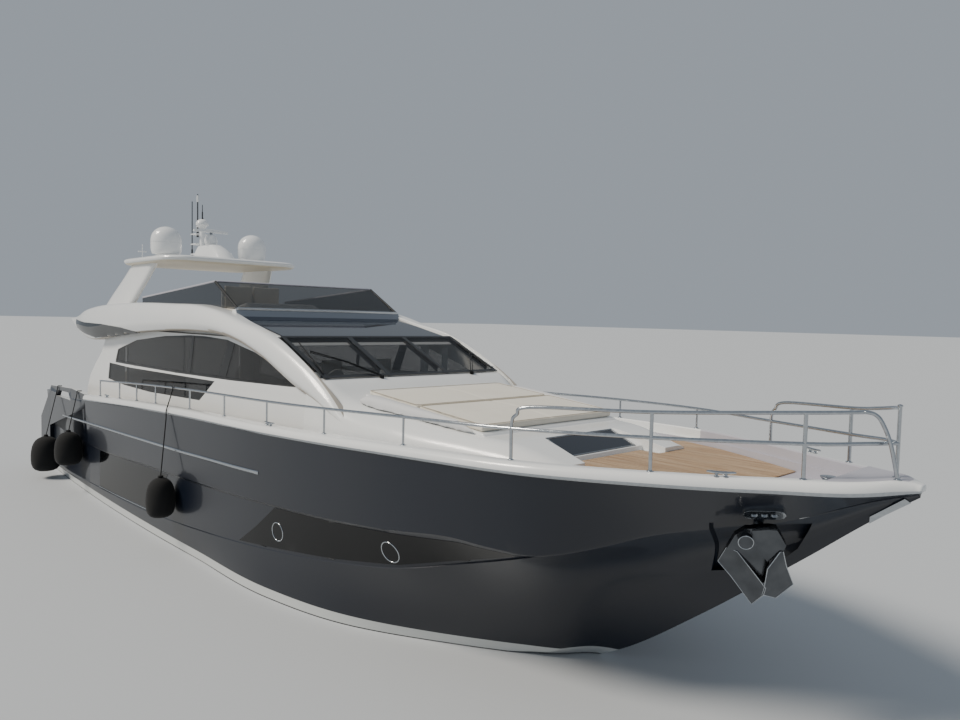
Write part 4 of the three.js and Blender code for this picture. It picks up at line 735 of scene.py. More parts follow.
def sky_slope(x, by=0.0):
    """The (x, z) of a point on the skylight's slope, or so far over it."""
    share = (x - SKY_AFT[0]) / (SKY_FORE[0] - SKY_AFT[0])
    return x, SKY_AFT[1] + (SKY_FORE[1] - SKY_AFT[1]) * share + by


roof = loft("coachroof_moulding", [coach_ring(row) for row in smooth_rows(COACHROOF, steps(3.601, 8.95, 70))])
well = solid_prism("sky_well", [(7.9, 3.7), sky_slope(7.9), sky_slope(8.54), (8.57, 3.13), (9.2, 3.13), (9.2, 3.7)],
    "y", -1.2, 1.2)
carve(well, solid_prism("well_plan", [(7.8, -0.885), (7.9, -0.885), (8.95, -1.05), (9.3, -1.05), (9.3, 1.05),
    (8.95, 1.05), (7.9, 0.885), (7.8, 0.885)], "z", 3.0, 3.8), "INTERSECT")
carve(roof, well)
carve(roof, solid_prism("sky_pocket", [sky_slope(8.0, -0.027), sky_slope(8.52, -0.027), sky_slope(8.52, 0.3),
    sky_slope(8.0, 0.3)], "y", -SKY_HALF, SKY_HALF))
fit(softened(roof, 0.02, 3, 35), gelcoat_white)
PLINTH_HALF = 1.69
plinth = solid_prism("pad_plinth", [(4.38, 3.5), (4.38, 3.89), (7.47, 3.56), (7.64, 3.4), (7.3, 3.3)], "y",
    -PLINTH_HALF, PLINTH_HALF)
fit(softened(plinth, 0.035, 4), gelcoat_white)
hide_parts("coachroof")
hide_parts("coachroof")

# Skylight: laminated glass with a blue-black film, which looks solid and glossy, in a low frame of
# aluminium, satin anodised to a soft grey sheen
sky_glass = finish("laminated_glass_blue_black", {
    "Base Color": linear("0a1220"), "Roughness": 0.04, "IOR": 1.5})[0]
sky_pane = softened(merged_copy("skylight", "skylight_pane"), 0.006, 2)
fit(sky_pane, sky_glass, replaces=("skylight",))
bars = []
for low, high in ((-SKY_HALF, 0.03 - SKY_HALF), (SKY_HALF - 0.03, SKY_HALF)):
    bars.append(solid_prism("bar", [sky_slope(8.0, -0.02), sky_slope(8.52, -0.02), sky_slope(8.52, 0.008),
        sky_slope(8.0, 0.008)], "y", low, high))
for start in (8.0, 8.492):
    bars.append(solid_prism("bar", [sky_slope(start, -0.02), sky_slope(start + 0.028, -0.02),
        sky_slope(start + 0.028, 0.008), sky_slope(start, 0.008)], "y", -SKY_HALF, SKY_HALF))
alloy_satin = finish("anodised_aluminium_satin", {
    "Base Color": linear("8d9196"), "Metallic": 1.0, "Roughness": 0.38})[0]
fit(softened(joined("skylight_frame", bars), 0.004, 2), alloy_satin)


# ---- Deckhouse: white glass-fibre shell, its corners rounded in the mould, with long dark panes set
# into rebates along its sides and one raked windscreen in three lights.
house = merged_copy("deckhouse", "deckhouse_shell")

# Tinted toughened glass: nearly black from outside, with the saloon faint behind it
side_glass = finish("toughened_glass_dark_tint", {
    "Base Color": linear("04060a"), "Roughness": 0.03, "IOR": 1.5, "Alpha": 0.6})[0]
screen_glass = finish("laminated_glass_grey_tint", {
    "Base Color": linear("070b10"), "Roughness": 0.02, "IOR": 1.5, "Alpha": 0.3})[0]
# Black ceramic frit and sealant round the panes: fired flat, a dull black under the glass's gloss
frit = finish("black_ceramic_frit", {"Base Color": linear("0b0c0e"), "Roughness": 0.3})[0]
for name in ("side_window", "low_window"):
    for hand in ("starboard", "port"):
        pane = merged_copy(f"{name}_{hand}", f"{name}_pane_{hand}")
        fit(softened(pane, 0.003, 1), side_glass, replaces=(f"{name}_{hand}",))
screen = softened(merged_copy("windscreen", "windscreen_lights"), 0.008, 3)
fit(screen, screen_glass, replaces=("windscreen",))

# Frit border, and the two broad mullions that part the windscreen's three lights
SCREEN_FOOT, SCREEN_HEAD, SCREEN_HALF = (3.86, 4.136), (2.24, 4.86), 2.23
GLASS_THICK = 0.024
screen_run = Vector((SCREEN_HEAD[0] - SCREEN_FOOT[0], SCREEN_HEAD[1] - SCREEN_FOOT[1]))
screen_out = Vector((-screen_run.y, screen_run.x)).normalized() * -1


def over_screen(share, y, out):
    """A point on the windscreen, from its foot 0 to its head 1, so far out of its lower face."""
    spot = Vector(SCREEN_FOOT) + screen_run * share + screen_out * out
    return (spot.x, y, spot.y)


def screen_bar(low, high, half_low, half_high, out=GLASS_THICK, thick=0.004):
    """A flat strip on the glass between two places (share, y), with its half widths at both."""
    rings = []
    for (share, y), half in ((low, half_low), (high, half_high)):
        rings.append([over_screen(share, y - half, out - 0.002), over_screen(share, y + half, out - 0.002),
            over_screen(share, y + half, out + thick), over_screen(share, y - half, out + thick)])
    return loft("bar", rings)


# The three lights are cut out of the shell to within a hand's breadth of the frame, edges painted black
LIGHT_FOOT, LIGHT_HEAD = 0.055, 0.945
for y_low, y_high in ((-2.14, -0.8), (-0.66, 0.7), (0.82, 2.15)):
    light = [over_screen(LIGHT_FOOT, 0, -0.4), over_screen(LIGHT_FOOT, 0, 0.1), over_screen(LIGHT_HEAD, 0, 0.1),
        over_screen(LIGHT_HEAD, 0, -0.16)]
    carve(house, solid_prism("light", [(x, z) for x, _, z in light], "y", y_low, y_high))


def house_side(middle, normal):
    """Black frit 1 on the edges that the lights are cut to, white gelcoat 0 on the rest."""
    off = (Vector((middle.x, middle.z)) - Vector(SCREEN_FOOT)).dot(screen_out)
    return 1 if abs(middle.y) < 2.2 and -0.2 < off < 0.1 and 2.2 < middle.x < 3.9 else 0


fit(softened(house, 0.012, 3), gelcoat_white, replaces=("deckhouse",))
paint_faces(house, (gelcoat_white, frit), house_side)

EDGE = SCREEN_HALF - 0.004
bands = [screen_bar((0.004, 0), (0.05, 0), EDGE, EDGE), screen_bar((0.955, 0), (0.996, 0), EDGE, EDGE),
    screen_bar((0.05, -EDGE + 0.06), (0.955, -EDGE + 0.04), 0.06, 0.04),
    screen_bar((0.05, EDGE - 0.045), (0.955, EDGE - 0.04), 0.045, 0.04),
    screen_bar((0.05, -0.73), (0.955, -0.66), 0.06, 0.06), screen_bar((0.05, 0.76), (0.955, 0.775), 0.045, 0.05)]
fit(softened(joined("windscreen_frit", bands), 0.001, 1), frit)
# Headlining seen behind the head of the screen
lining = softened(screen_bar((0.83, 0), (0.9, 0), 2.06, 2.06, -0.05, 0.01), 0.002, 1)
fit(lining, gelcoat_white)

# Broad black posts that divide the side panes, and the dark joint between upper and lower panes
LEAN_FOOT_Z, LEAN, HOUSE_HALF = 2.45, 0.013, 2.43
SIDE_POSTS = [((-1.875, 3.89), (-1.725, 3.89), (-1.565, 4.76), (-1.715, 4.76)),
    ((-0.2, 3.92), (0.14, 3.92), (0.52, 4.675), (0.22, 4.715))]
JOINT = [(-6.9, 3.84), (-5.3, 3.835), (-2.5, 3.835), (0.4, 3.87), (2.9, 3.935), (3.2, 3.95), (1.0, 3.93),
    (-2.5, 3.885), (-5.3, 3.89), (-6.88, 3.9)]


def side_skin(z, out):
    """Half-breadth of the deckhouse side, which leans in above the deck."""
    return HOUSE_HALF * (1 - LEAN * max(z - LEAN_FOOT_Z, 0)) + out


posts = []
for side in (-1, 1):
    for outline, out, thick in [(post, -0.015, 0.012) for post in SIDE_POSTS] + [(JOINT, 0.002, 0.006)]:
        posts.append(draped_pane("post", outline, lambda x, z, s=side, o=out: s * side_skin(z, o), thick, 0.4))
fit(joined("side_window_mullions", posts), frit)

# Fixed aft pane and the sliding leaf beside it, in a satin aluminium frame
glass_aft = softened(merged_copy("aft_glass", "aft_glass_pane"), 0.003, 1)
fit(glass_aft, side_glass, replaces=("aft_glass",))
DOOR_X, DOOR_IN, DOOR_FOOT, DOOR_HEAD, FRAME_WIDE = (-7.894, -7.86), (-1.762, 0.0), 2.578, 4.552, 0.06
bars = []
for low, high in ((DOOR_IN[0], DOOR_IN[0] + FRAME_WIDE), (DOOR_IN[1] - FRAME_WIDE, DOOR_IN[1])):
    bars.append(solid_prism("bar", oblong(DOOR_X[0], DOOR_FOOT, DOOR_X[1], DOOR_HEAD), "y", low, high))
for low, high in ((DOOR_FOOT, DOOR_FOOT + FRAME_WIDE), (DOOR_HEAD - FRAME_WIDE, DOOR_HEAD)):
    bars.append(solid_prism("bar", oblong(DOOR_X[0], low, DOOR_X[1], high), "y", *DOOR_IN))
# The upright pull on the leaf
bars.append(solid_prism("bar", oblong(DOOR_X[0] - 0.02, 3.3, DOOR_X[0], 3.8), "y", DOOR_IN[0] + 0.02,
    DOOR_IN[0] + 0.04))
fit(softened(joined("aft_door_frame", bars), 0.004, 2), alloy_satin, "aft_door_body")
door_glass = softened(merged_copy("aft_door", "aft_door_pane"), 0.003, 1)
fit(door_glass, side_glass, "aft_door_body", replaces=("aft_door",))


# Wipers: a pivot under each outer light, a pair of parallel arms and one blade, in black alloy
def pipe(points, radius, sides, each):
    """Vertices and faces of a round bar of constant thickness, closed at both ends."""
    path = curve_through(points, each) if each > 1 else [Vector(p) for p in points]
    ahead_of = [(path[min(i + 1, len(path) - 1)] - path[max(i - 1, 0)]).normalized() for i in range(len(path))]
    side = ahead_of[0].orthogonal().normalized()
    vertices = []
    for spot, ahead in zip(path, ahead_of):
        side = (side - ahead * side.dot(ahead)).normalized()
        up = ahead.cross(side)
        for i in range(sides):
            turn = 2 * math.pi * i / sides
            vertices.append(spot + (side * math.cos(turn) + up * math.sin(turn)) * radius)
    return vertices, tube_faces(len(path), sides)


def piped(name, runs, sides=12):
    """One mesh of several round bars; each run is points, radius and the curve's segments."""
    vertices, faces = [], []
    for points, radius, each in runs:
        more, shapes = pipe(points, radius, sides, each)
        faces += [tuple(i + len(vertices) for i in shape) for shape in shapes]
        vertices += more
    return object_from(name, vertices, faces, 40)


PARALLEL = 0.028
WIPERS = [
    # pivot (x, y, z), elbow, blade's head and foot as (share of the screen's height, y)
    ((3.908, -0.967, 4.165), (0.54, -1.99), (0.81, -2.0), (0.09, -2.15)),
    ((3.913, 1.4, 4.165), (0.42, 2.0), (0.76, 2.11), (0.06, 2.12)),
]
wiper_runs = []
for (pivot_x, pivot_y, pivot_z), elbow, blade_head, blade_foot in WIPERS:
    for shift in (-PARALLEL, PARALLEL):
        halfway = over_screen(elbow[0] * 0.5, (pivot_y + elbow[1]) / 2 + shift, 0.1)
        wiper_runs.append(([(pivot_x, pivot_y + shift, pivot_z), halfway,
            over_screen(elbow[0] + shift, elbow[1], 0.075)], 0.009, 1))
    wiper_runs.append(([over_screen(*blade_head, 0.045), over_screen(*blade_foot, 0.045)], 0.011, 1))
    wiper_runs.append(([over_screen(*elbow, 0.08), over_screen(elbow[0], blade_head[1], 0.05)], 0.014, 1))
    wiper_runs.append(([(pivot_x, pivot_y, 4.11), (pivot_x, pivot_y, 4.18)], 0.045, 1))
# Black anodised aluminium: dark, with a blurred metal sheen
wiper_black = finish("anodised_aluminium_black", {
    "Base Color": linear("1a1b1d"), "Metallic": 0.6, "Roughness": 0.45})[0]
fit(piped("windscreen_wipers", wiper_runs), wiper_black)


# ---- Flybridge: white mouldings. A deck slab over the saloon, a wedge in front that carries the roof
# glass, and two coamings that run down beside the windscreen, with painted shade in beige-grey on their undersides.
SWEEP = [
    # x, top z, bottom z, outer half-breadth, inner half-breadth
    (-11.54, 5.055, 4.975, 2.300, 2.040),
    (-10.60, 5.150, 4.700, 2.440, 2.080),
    (-9.60, 5.300, 4.540, 2.580, 2.150),
    (-8.32, 5.420, 4.440, 2.660, 2.150),
    (-6.50, 5.500, 4.600, 2.700, 2.150),
    (-4.70, 5.530, 4.740, 2.710, 2.150),
    (-2.60, 5.510, 4.850, 2.700, 2.150),
    (-0.80, 5.460, 4.880, 2.680, 2.150),
    (0.17, 5.330, 4.850, 2.660, 2.150),
    (0.98, 5.150, 4.740, 2.630, 2.200),
    (2.05, 4.930, 4.440, 2.590, 2.280),
    (3.23, 4.480, 3.950, 2.530, 2.330),
    (4.00, 4.090, 3.680, 2.480, 2.360),
    (4.40, 3.830, 3.500, 2.440, 2.370),
    (4.70, 3.580, 3.400, 2.400, 2.360),
]
HOUSE_AFT_X, HOUSE_TOP_Z, FLY_DECK_Z, HOUSE_SKIN_Y = -7.9, 4.8004, 4.95, 2.415


def sweep_ring(row, over_house):
    x, top, foot, outer, inner = row
    inner = max(inner, 2.15) if x > -9.6 else inner
    high = top - foot
    low_in = HOUSE_SKIN_Y if over_house else inner
    step_z = min(max(HOUSE_TOP_Z, foot + 0.002), top - 0.01)
    face = filleted([(low_in, foot), (outer - 0.09, foot), (outer, foot + 0.3 * high),
        (outer - 0.025, foot + 0.62 * high), (outer - 0.11, top - 0.08 * high), (outer - 0.19, top), (inner, top),
        (inner, step_z)], (0.05, 0.1, 0.14, 0.09, 0.07, 0.03))
    return [(x, y, z) for y, z in face] + [(x, low_in, step_z)]


sweep_xs = steps(SWEEP[0][0], HOUSE_AFT_X - 0.0005, 26) + steps(HOUSE_AFT_X, 2.2, 60)
sweep_xs += steps(2.2005, SWEEP[-1][0], 24)
sweep_rings = [sweep_ring(row, HOUSE_AFT_X - 0.0002 < row[0] < 2.2002) for row in smooth_rows(SWEEP, sweep_xs)]
coamings = [loft("coaming", [[(x, y * side, z) for x, y, z in ring] for ring in sweep_rings], 32, merge=0.0002)
    for side in (-1, 1)]
deck_plan = [(row[0], row[4] + 0.02) for row in smooth_rows(SWEEP, steps(-11.4, -9.0, 9))] + [(0.2, 2.2)]
deck_slab = solid_prism("fly_deck", deck_plan + [(x, -y) for x, y in deck_plan[::-1]], "z", HOUSE_TOP_Z, FLY_DECK_Z)
wedge = solid_prism("fly_wedge", [(2.15, 4.81), (2.15, 4.85), (0.335, 5.22), (0.25, 5.39), (0.08, 5.39),
    (0.08, 4.81)], "y", -2.2, 2.2)
# Painted shade: warm beige-grey on the faces under the overhangs, and silver-grey gelcoat on the wedge: both satin
# from the mould
underside_shade_paint = finish("satin_gelcoat_painted_underside_shade", {"Base Color": linear("b9b1a5"), "Roughness": 0.4})[0]
silver = finish("gelcoat_silver_grey", {"Base Color": linear("8d949e"), "Roughness": 0.3})[0]
# Moulded non-slip diamonds on the flybridge floor
non_slip, tree, shader = finish("gelcoat_non_slip_pale", {"Base Color": linear("d9d9d6"), "Roughness": 0.6})
place = add(tree, "ShaderNodeTexCoord")["Object"]
cells = add(tree, "ShaderNodeTexVoronoi", {"feature": "DISTANCE_TO_EDGE"}, {"Vector": place, "Scale": 90.0})
grip = add(tree, "ShaderNodeBump", inputs={"Height": cells["Distance"], "Strength": 0.3, "Distance": 0.002})
tree.links.new(grip["Normal"], shader.inputs["Normal"])


def fly_side(middle, normal):
    """White 0, beige-grey painted shade 1 under the overhangs, non-slip 2 on the floor, silver 3 on the wedge's face.
    """
    # Faces low on the flybridge that turn downwards take the beige-grey painted shade
    if normal.z < -0.5 and middle.z < 5.1:
        return 1
    if normal.x > 0.4 and 0.15 < middle.x < 0.5:
        return 3
    return 2 if normal.z > 0.9 and abs(middle.z - FLY_DECK_Z) < 0.02 else 0


for part in coamings + [softened(deck_slab, 0.02, 3), softened(wedge, 0.012, 3)]:
    fit(part, gelcoat_white)
    paint_faces(part, (gelcoat_white, underside_shade_paint, non_slip, silver), fly_side)
    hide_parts("flybridge")

roof_pane = softened(merged_copy("roof_glass", "roof_glass_panel"), 0.008, 3)
fit(roof_pane, sky_glass, replaces=("roof_glass",))

# Wind deflector: smoked acrylic under a lilac-grey rail, in a polished foot channel, with black posts
smoked = finish("smoked_acrylic", {"Base Color": linear("0d1013"), "Roughness": 0.04,
    "IOR": 1.49, "Alpha": 0.6})[0]
smoked_dark = finish("smoked_acrylic_opaque", {"Base Color": linear("0a0e0e"), "Roughness": 0.05,
    "IOR": 1.49})[0]
deflector = merged_copy("fly_windscreen", "fly_deflector")
fit(softened(deflector, 0.004, 2), smoked, replaces=("fly_windscreen",))
FLY_HALF = 2.138
rim = [(-5.45, -FLY_HALF, 5.68), (-3.2, -FLY_HALF, 5.848), (-0.95, -FLY_HALF, 6.017),
    (-0.893, 0.03 - FLY_HALF, 6.022)]
rim_path = rim + [(x, -y, z) for x, y, z in rim[::-1]]
foot_channel = solid_prism("fly_foot_channel", [(0.262, 5.37), (0.27, 5.43), (0.17, 5.45), (0.12, 5.44), (0.12, 5.37)],
    "y", -2.16, 2.16)
fit(softened(foot_channel, 0.012, 3), steel_polished)
fit(piped("fly_deflector_rail", [(rim_path, 0.024, 1)]), gelcoat_lilac)
corner_posts = [([(0.2, side * FLY_HALF, 5.42), (-0.9, side * FLY_HALF, 6.01)], 0.03, 1) for side in (-1, 1)]
fit(piped("fly_corner_posts", corner_posts), wiper_black)

# Long dark lens panels bonded to both coamings over the side decks
LENS = [(-10.505, 5.014), (-8.991, 4.936), (-7.11, 4.919), (-5.62, 4.859), (-4.354, 4.744), (-6.349, 4.592),
    (-7.925, 4.508), (-9.11, 4.605), (-10.149, 4.752)]


def sweep_y(x, z):
    """Half-breadth of a coaming's outer face."""
    face = sweep_ring(smooth_rows(SWEEP, [x])[0], False)
    z = max(z, face[1][2] + 0.001)
    found = [b[1] if abs(b[2] - a[2]) < 1e-6 else a[1] + (b[1] - a[1]) * (z - a[2]) / (b[2] - a[2])
        for a, b in zip(face, face[1:]) if min(a[2], b[2]) - 1e-6 <= z <= max(a[2], b[2]) + 1e-6]
    return max(found, default=face[4][1])


for side, hand in HANDS:
    lens = draped_pane(f"coaming_lens_{hand}", LENS, lambda x, z, s=side: s * (sweep_y(x, z) + 0.012), 0.016, 0.06)
    fit(lens, smoked_dark)


# ---- Hardtop and radar arch: white mouldings with rounded corners. Two raked legs rise from the
# coamings, and the roof plate over them is painted cream underneath as its shade.
TOP_AFT_X, TOP_FORE_X, TOP_HALF, TOP_CORNER = -7.95, -4.15, 1.98, 0.62
TOP_LEVELS = [(-0.15, 6.640), (-0.07, 6.655), (-0.025, 6.688), (-0.004, 6.73), (0.0, 6.755), (-0.012, 6.786),
    (-0.05, 6.812), (-0.10, 6.826), (-0.16, 6.830)]


def rounded_plan(grow, z):
    ring = []
    corners = ((TOP_FORE_X + grow, 1, 0), (TOP_AFT_X - grow, 1, 90), (TOP_AFT_X - grow, -1, 180),
        (TOP_FORE_X + grow, -1, 270))
    for edge_x, side, start in corners:
        middle_x = edge_x + (TOP_CORNER if start in (90, 180) else -TOP_CORNER)
        middle_y = side * (TOP_HALF + grow - TOP_CORNER)
        for i in range(13):
            turn = math.radians(start + 7.5 * i)
            ring.append((middle_x + TOP_CORNER * math.cos(turn), middle_y + TOP_CORNER * math.sin(turn), z))
    return ring


plate = loft("hardtop_plate", [rounded_plan(grow, z) for grow, z in TOP_LEVELS], 30)
LEG = [
    # z, aft x, fore x, inner y, outer y
    (5.200, -9.10, -6.80, 1.95, 2.18),
    (5.740, -8.45, -6.34, 1.84, 2.06),
    (6.300, -7.78, -5.85, 1.70, 1.91),
    (6.690, -7.33, -5.53, 1.61, 1.82),
]


def leg_ring(row, side):
    z, aft, fore, inner, outer = row
    middle, half = (inner + outer) / 2, (outer - inner) / 2
    profile = [(0.0, 0.0), (0.03, 0.55), (0.08, 0.85), (0.2, 1.0), (0.5, 1.0), (0.8, 1.0), (0.92, 0.85), (0.97, 0.55),
        (1.0, 0.0)]
    near = [(aft + (fore - aft) * u, side * (middle + half * v), z) for u, v in profile]
    far = [(aft + (fore - aft) * u, side * (middle - half * v), z) for u, v in profile[-2:0:-1]]
    return near + far


leg_zs = steps(LEG[0][0], LEG[-1][0], 20)
legs = [loft("arch_leg", [leg_ring(row, side) for row in smooth_rows(LEG, leg_zs)], 40) for side in (-1, 1)]
fit(plate, gelcoat_white)
# Painted shade: a darker, warmer cream on the plate's faces that turn down
cream = finish("satin_cream_painted_underside_shade", {"Base Color": linear("ddd3bf"), "Roughness": 0.42})[0]
# Downward faces take the cream painted shade
paint_faces(plate, (gelcoat_white, cream), lambda middle, normal: 1 if normal.z < -0.6 else 0)
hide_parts("hardtop")
arch = joined("arch_legs", legs)
fit(arch, gelcoat_white, replaces=("hardtop",))


# Satellite domes: glossy white radomes in two halves on their foot rings
def turned(name, profile, at, segments=48, smooth_under=35):
    """A closed body turned about an upright axis from (radius, height) points."""
    vertices, faces, rings = [], [], []
    for radius, height in profile:
        if radius == 0:
            rings.append([len(vertices)])
            vertices.append((at[0], at[1], at[2] + height))
            continue
        rings.append(list(range(len(vertices), len(vertices) + segments)))
        for i in range(segments):
            turn = 2 * math.pi * i / segments
            vertices.append((at[0] + radius * math.cos(turn), at[1] + radius * math.sin(turn), at[2] + height))
    for low, high in zip(rings, rings[1:]):
        for i in range(segments):
            j = (i + 1) % segments
            corners = [low[i % len(low)], low[j % len(low)], high[j % len(high)], high[i % len(high)]]
            faces.append(tuple(dict.fromkeys(corners)))
    return object_from(name, vertices, faces, smooth_under)


DOME_PROFILE = [(0, 0), (0.25, 0), (0.262, 0.01), (0.27, 0.085), (0.30, 0.098), (0.365, 0.108), (0.392, 0.16),
    (0.406, 0.215), (0.413, 0.27), (0.415, 0.34), (0.415, 0.42), (0.415, 0.424), (0.409, 0.426), (0.409, 0.434),
    (0.415, 0.436), (0.414, 0.49), (0.408, 0.55), (0.392, 0.62), (0.362, 0.69), (0.316, 0.753), (0.255, 0.808),
    (0.183, 0.85), (0.10, 0.877), (0.04, 0.887), (0, 0.89)]
# Sprayed gloss over a glass-fibre dome: clean white with a soft highlight
radome = finish("radome_gloss_white", {"Base Color": linear("e9ebec"), "Roughness": 0.2,
    "Coat Weight": 0.4, "Coat Roughness": 0.05})[0]
for side, hand in HANDS:
    dome = turned(f"radome_{hand}", DOME_PROFILE, (-6.01, side * 1.3, 6.8304))
    fit(dome, radome, replaces=(f"satellite_dome_{hand}",))

# Mast: a faired moulding, a ball radome under the scanner, and a pole with yards for whip aerials
base_rows = [(6.8304, -6.64, -4.76, 0.30), (7.13, -6.62, -5.18, 0.23), (7.29, -6.56, -5.56, 0.17)]
base_rings = []
for z, aft, fore, half in smooth_rows(base_rows, steps(6.8304, 7.29, 12)):
    corners = [(fore - half * 0.9, -half), (aft + 0.05, -half), (aft, -half + 0.05), (aft, half - 0.05),
        (aft + 0.05, half), (fore - half * 0.9, half)]
    nose = [(fore - half * 0.9 * (1 - math.cos(math.radians(turn))), half * math.sin(math.radians(turn)))
        for turn in (60, 30, 0, -30, -60)]
    base_rings.append([(x, y, z) for x, y in corners + nose])
mast_parts = [softened(loft("mast_base", base_rings, 30), 0.02, 3)]
BALL, SCANNER_X = 0.192, -6.0
ball_profile = [(0, -BALL)] + [(BALL * math.sin(math.radians(a)), -BALL * math.cos(math.radians(a)))
    for a in range(12, 180, 12)] + [(0, BALL)]
mast_parts.append(turned("mast_ball", ball_profile, (SCANNER_X, 0, 7.43), 36))
mast_parts.append(turned("mast_ball_foot", [(0, 0), (0.09, 0), (0.07, 0.02), (0.07, 0.14), (0, 0.14)],
    (SCANNER_X, 0, 7.2), 28))
MAST_X = -6.61
mast_parts.append(turned("mast_pole", [(0, 0), (0.09, 0), (0.075, 0.03), (0.075, 0.8), (0, 0.8)],
    (MAST_X, 0, 7.2), 28))
mast_parts.append(turned("mast_mushroom", [(0, 0), (0.11, 0), (0.122, 0.03), (0.14, 0.055), (0.178, 0.068),
    (0.187, 0.09), (0.188, 0.12), (0.176, 0.16), (0.15, 0.2), (0.116, 0.23), (0.07, 0.25), (0, 0.258)],
    (MAST_X, 0, 7.86), 32))
for z, half in ((7.05, 0.2), (7.35, 0.2), (7.65, 0.2), (7.9, 0.03)):
    mast_parts.append(softened(solid_prism("yard", oblong(-6.99, z, MAST_X, z + 0.034), "y", -half, half), 0.006, 2))
for number, part in enumerate(mast_parts):
    part.name = f"mast_part_{number}"
    fit(part, radome)
    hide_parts("mast")
# Whip aerials: black glass-fibre rods on ferrules, tapered to their tips; the middle one has a white tip
rod_black = finish("glass_fibre_rod_black", {"Base Color": linear("2b2d31"), "Roughness": 0.4})[0]
WHIPS = [(-6.95, -0.17, 6.99, 8.66, 0.026), (-6.95, 0, 7.6, 8.9, 0.034), (MAST_X, 0, 8.1, 8.55, 0.02),
    (-6.95, 0.17, 6.99, 8.2, 0.022)]
whips = [turned("whip", [(0, 0), (radius, 0), (radius, 0.22), (radius * 0.6, 0.24), (radius * 0.5, head - foot - 0.05),
    (radius * 0.55, head - foot - 0.04), (radius * 0.4, head - foot), (0, head - foot)], (x, y, foot), 16)
    for x, y, foot, head, radius in WHIPS]
fit(joined("whip_aerials", whips), rod_black)
tip = turned("whip_tip", [(0, 0), (0.03, 0), (0.032, 0.16), (0.02, 0.2), (0, 0.21)], (-6.95, 0, 8.66), 16)
fit(tip, radome)
# A short white aerial with a crossbar stands on the hardtop beside the starboard dome
small = turned("short_aerial", [(0, 0), (0.03, 0), (0.03, 0.03), (0.012, 0.05), (0.009, 0.42), (0.014, 0.43),
    (0.014, 0.47), (0, 0.475)], (-7.6, -1.4, 6.83), 16)
crossbar = solid_prism("crossbar", oblong(-7.615, -1.52, -7.585, -1.28), "z", 7.07, 7.1)
fit(joined("short_aerial", [small, crossbar]), radome)

# Open-array scanner: a tapered white bar on a satin aluminium hub
SCANNER_Z, SCANNER_REACH = 7.66, 0.52
bar_rings = []
for y in steps(-SCANNER_REACH, SCANNER_REACH, 25):
    near = 1 - (abs(y) / SCANNER_REACH) ** 2
    wide, tall = 0.04 + 0.035 * near, (0.034 + 0.026 * near) * 1.6
    bar_rings.append([(SCANNER_X + wide * u, y, SCANNER_Z + 0.01 + tall * v) for u, v in (
        (-1, 0.0), (1, 0.0), (1, 0.35), (0.94, 0.75), (0.8, 1.0), (-0.8, 1.0), (-0.94, 0.75), (-1, 0.35))])
bar = softened(loft("scanner_bar", bar_rings, 30), 0.008, 2)
fit(bar, radome, "radar_scanner_body", replaces=("radar_scanner",))
hub = turned("scanner_hub", [(0, 0), (0.04, 0), (0.04, 0.06), (0.055, 0.062), (0.055, 0.07), (0, 0.07)],
    (SCANNER_X, 0, SCANNER_Z - 0.04), 24)
fit(hub, alloy_satin, "radar_scanner_body")


# ---- Guard rails: 48 mm stainless tube, bent and welded, mirror polished. A low rail runs from the
# quarters to the stem and a higher hoop round the bow, on stanchions with screwed foot flanges.
RAIL_IN, RAIL_RADIUS, POST_RADIUS, BOW_POST_X = 0.125, 0.024, 0.018, 12.7
AFT_POSTS = [-6.4, -4.76, -3.48, -2.21, -0.24, 1.44, 3.13, 4.93, 6.85]
RAILS = [
    # side, bow posts, where the hoop starts, x and height of the low rail and the hoop over the cap
    (-1, [8.77, 10.45, 11.95], 8.77, [(-6.4, 0.42, 0.72), (10.0, 0.42, 0.72), (11.95, 0.42, 0.785),
        (12.5, 0.42, 0.795)]),
    (1, [8.71, 10.39, 11.87], 10.39, [(-6.4, 0.42, 0.64), (6.85, 0.36, 0.64), (10.39, 0.35, 0.655),
        (11.87, 0.375, 0.725), (12.5, 0.41, 0.79)]),
]
LEG_FOOT = (12.76, -0.16, cap_top(12.76))
LEG_DOWN = [(12.38, -0.39, 4.32), (12.45, -0.34, 4.325), (12.53, -0.285, 4.3), (12.595, -0.245, 4.21),
    (12.68, -0.2, 3.97), LEG_FOOT]
BOW_POST_FOOT = cap_top(BOW_POST_X)
TO_POST = [(12.3, 0.48, 4.3), (12.56, 0.24, 4.35), (BOW_POST_X, 0, BOW_POST_FOOT + 0.81)]


def along(rows, x, column):
    """A column of rows that start with x, read at any x along straight lines."""
    i = 1
    while i < len(rows) - 1 and rows[i][0] < x:
        i += 1
    a, b = rows[i - 1], rows[i]
    return a[column] + (x - a[0]) / (b[0] - a[0]) * (b[column] - a[column])


def on_cap(x, side, above):
    """A place over the line of rail feet, so far above the cap."""
    return (x, side * max(sheer(x)[0] - RAIL_IN, 0.06), cap_top(x) + above)


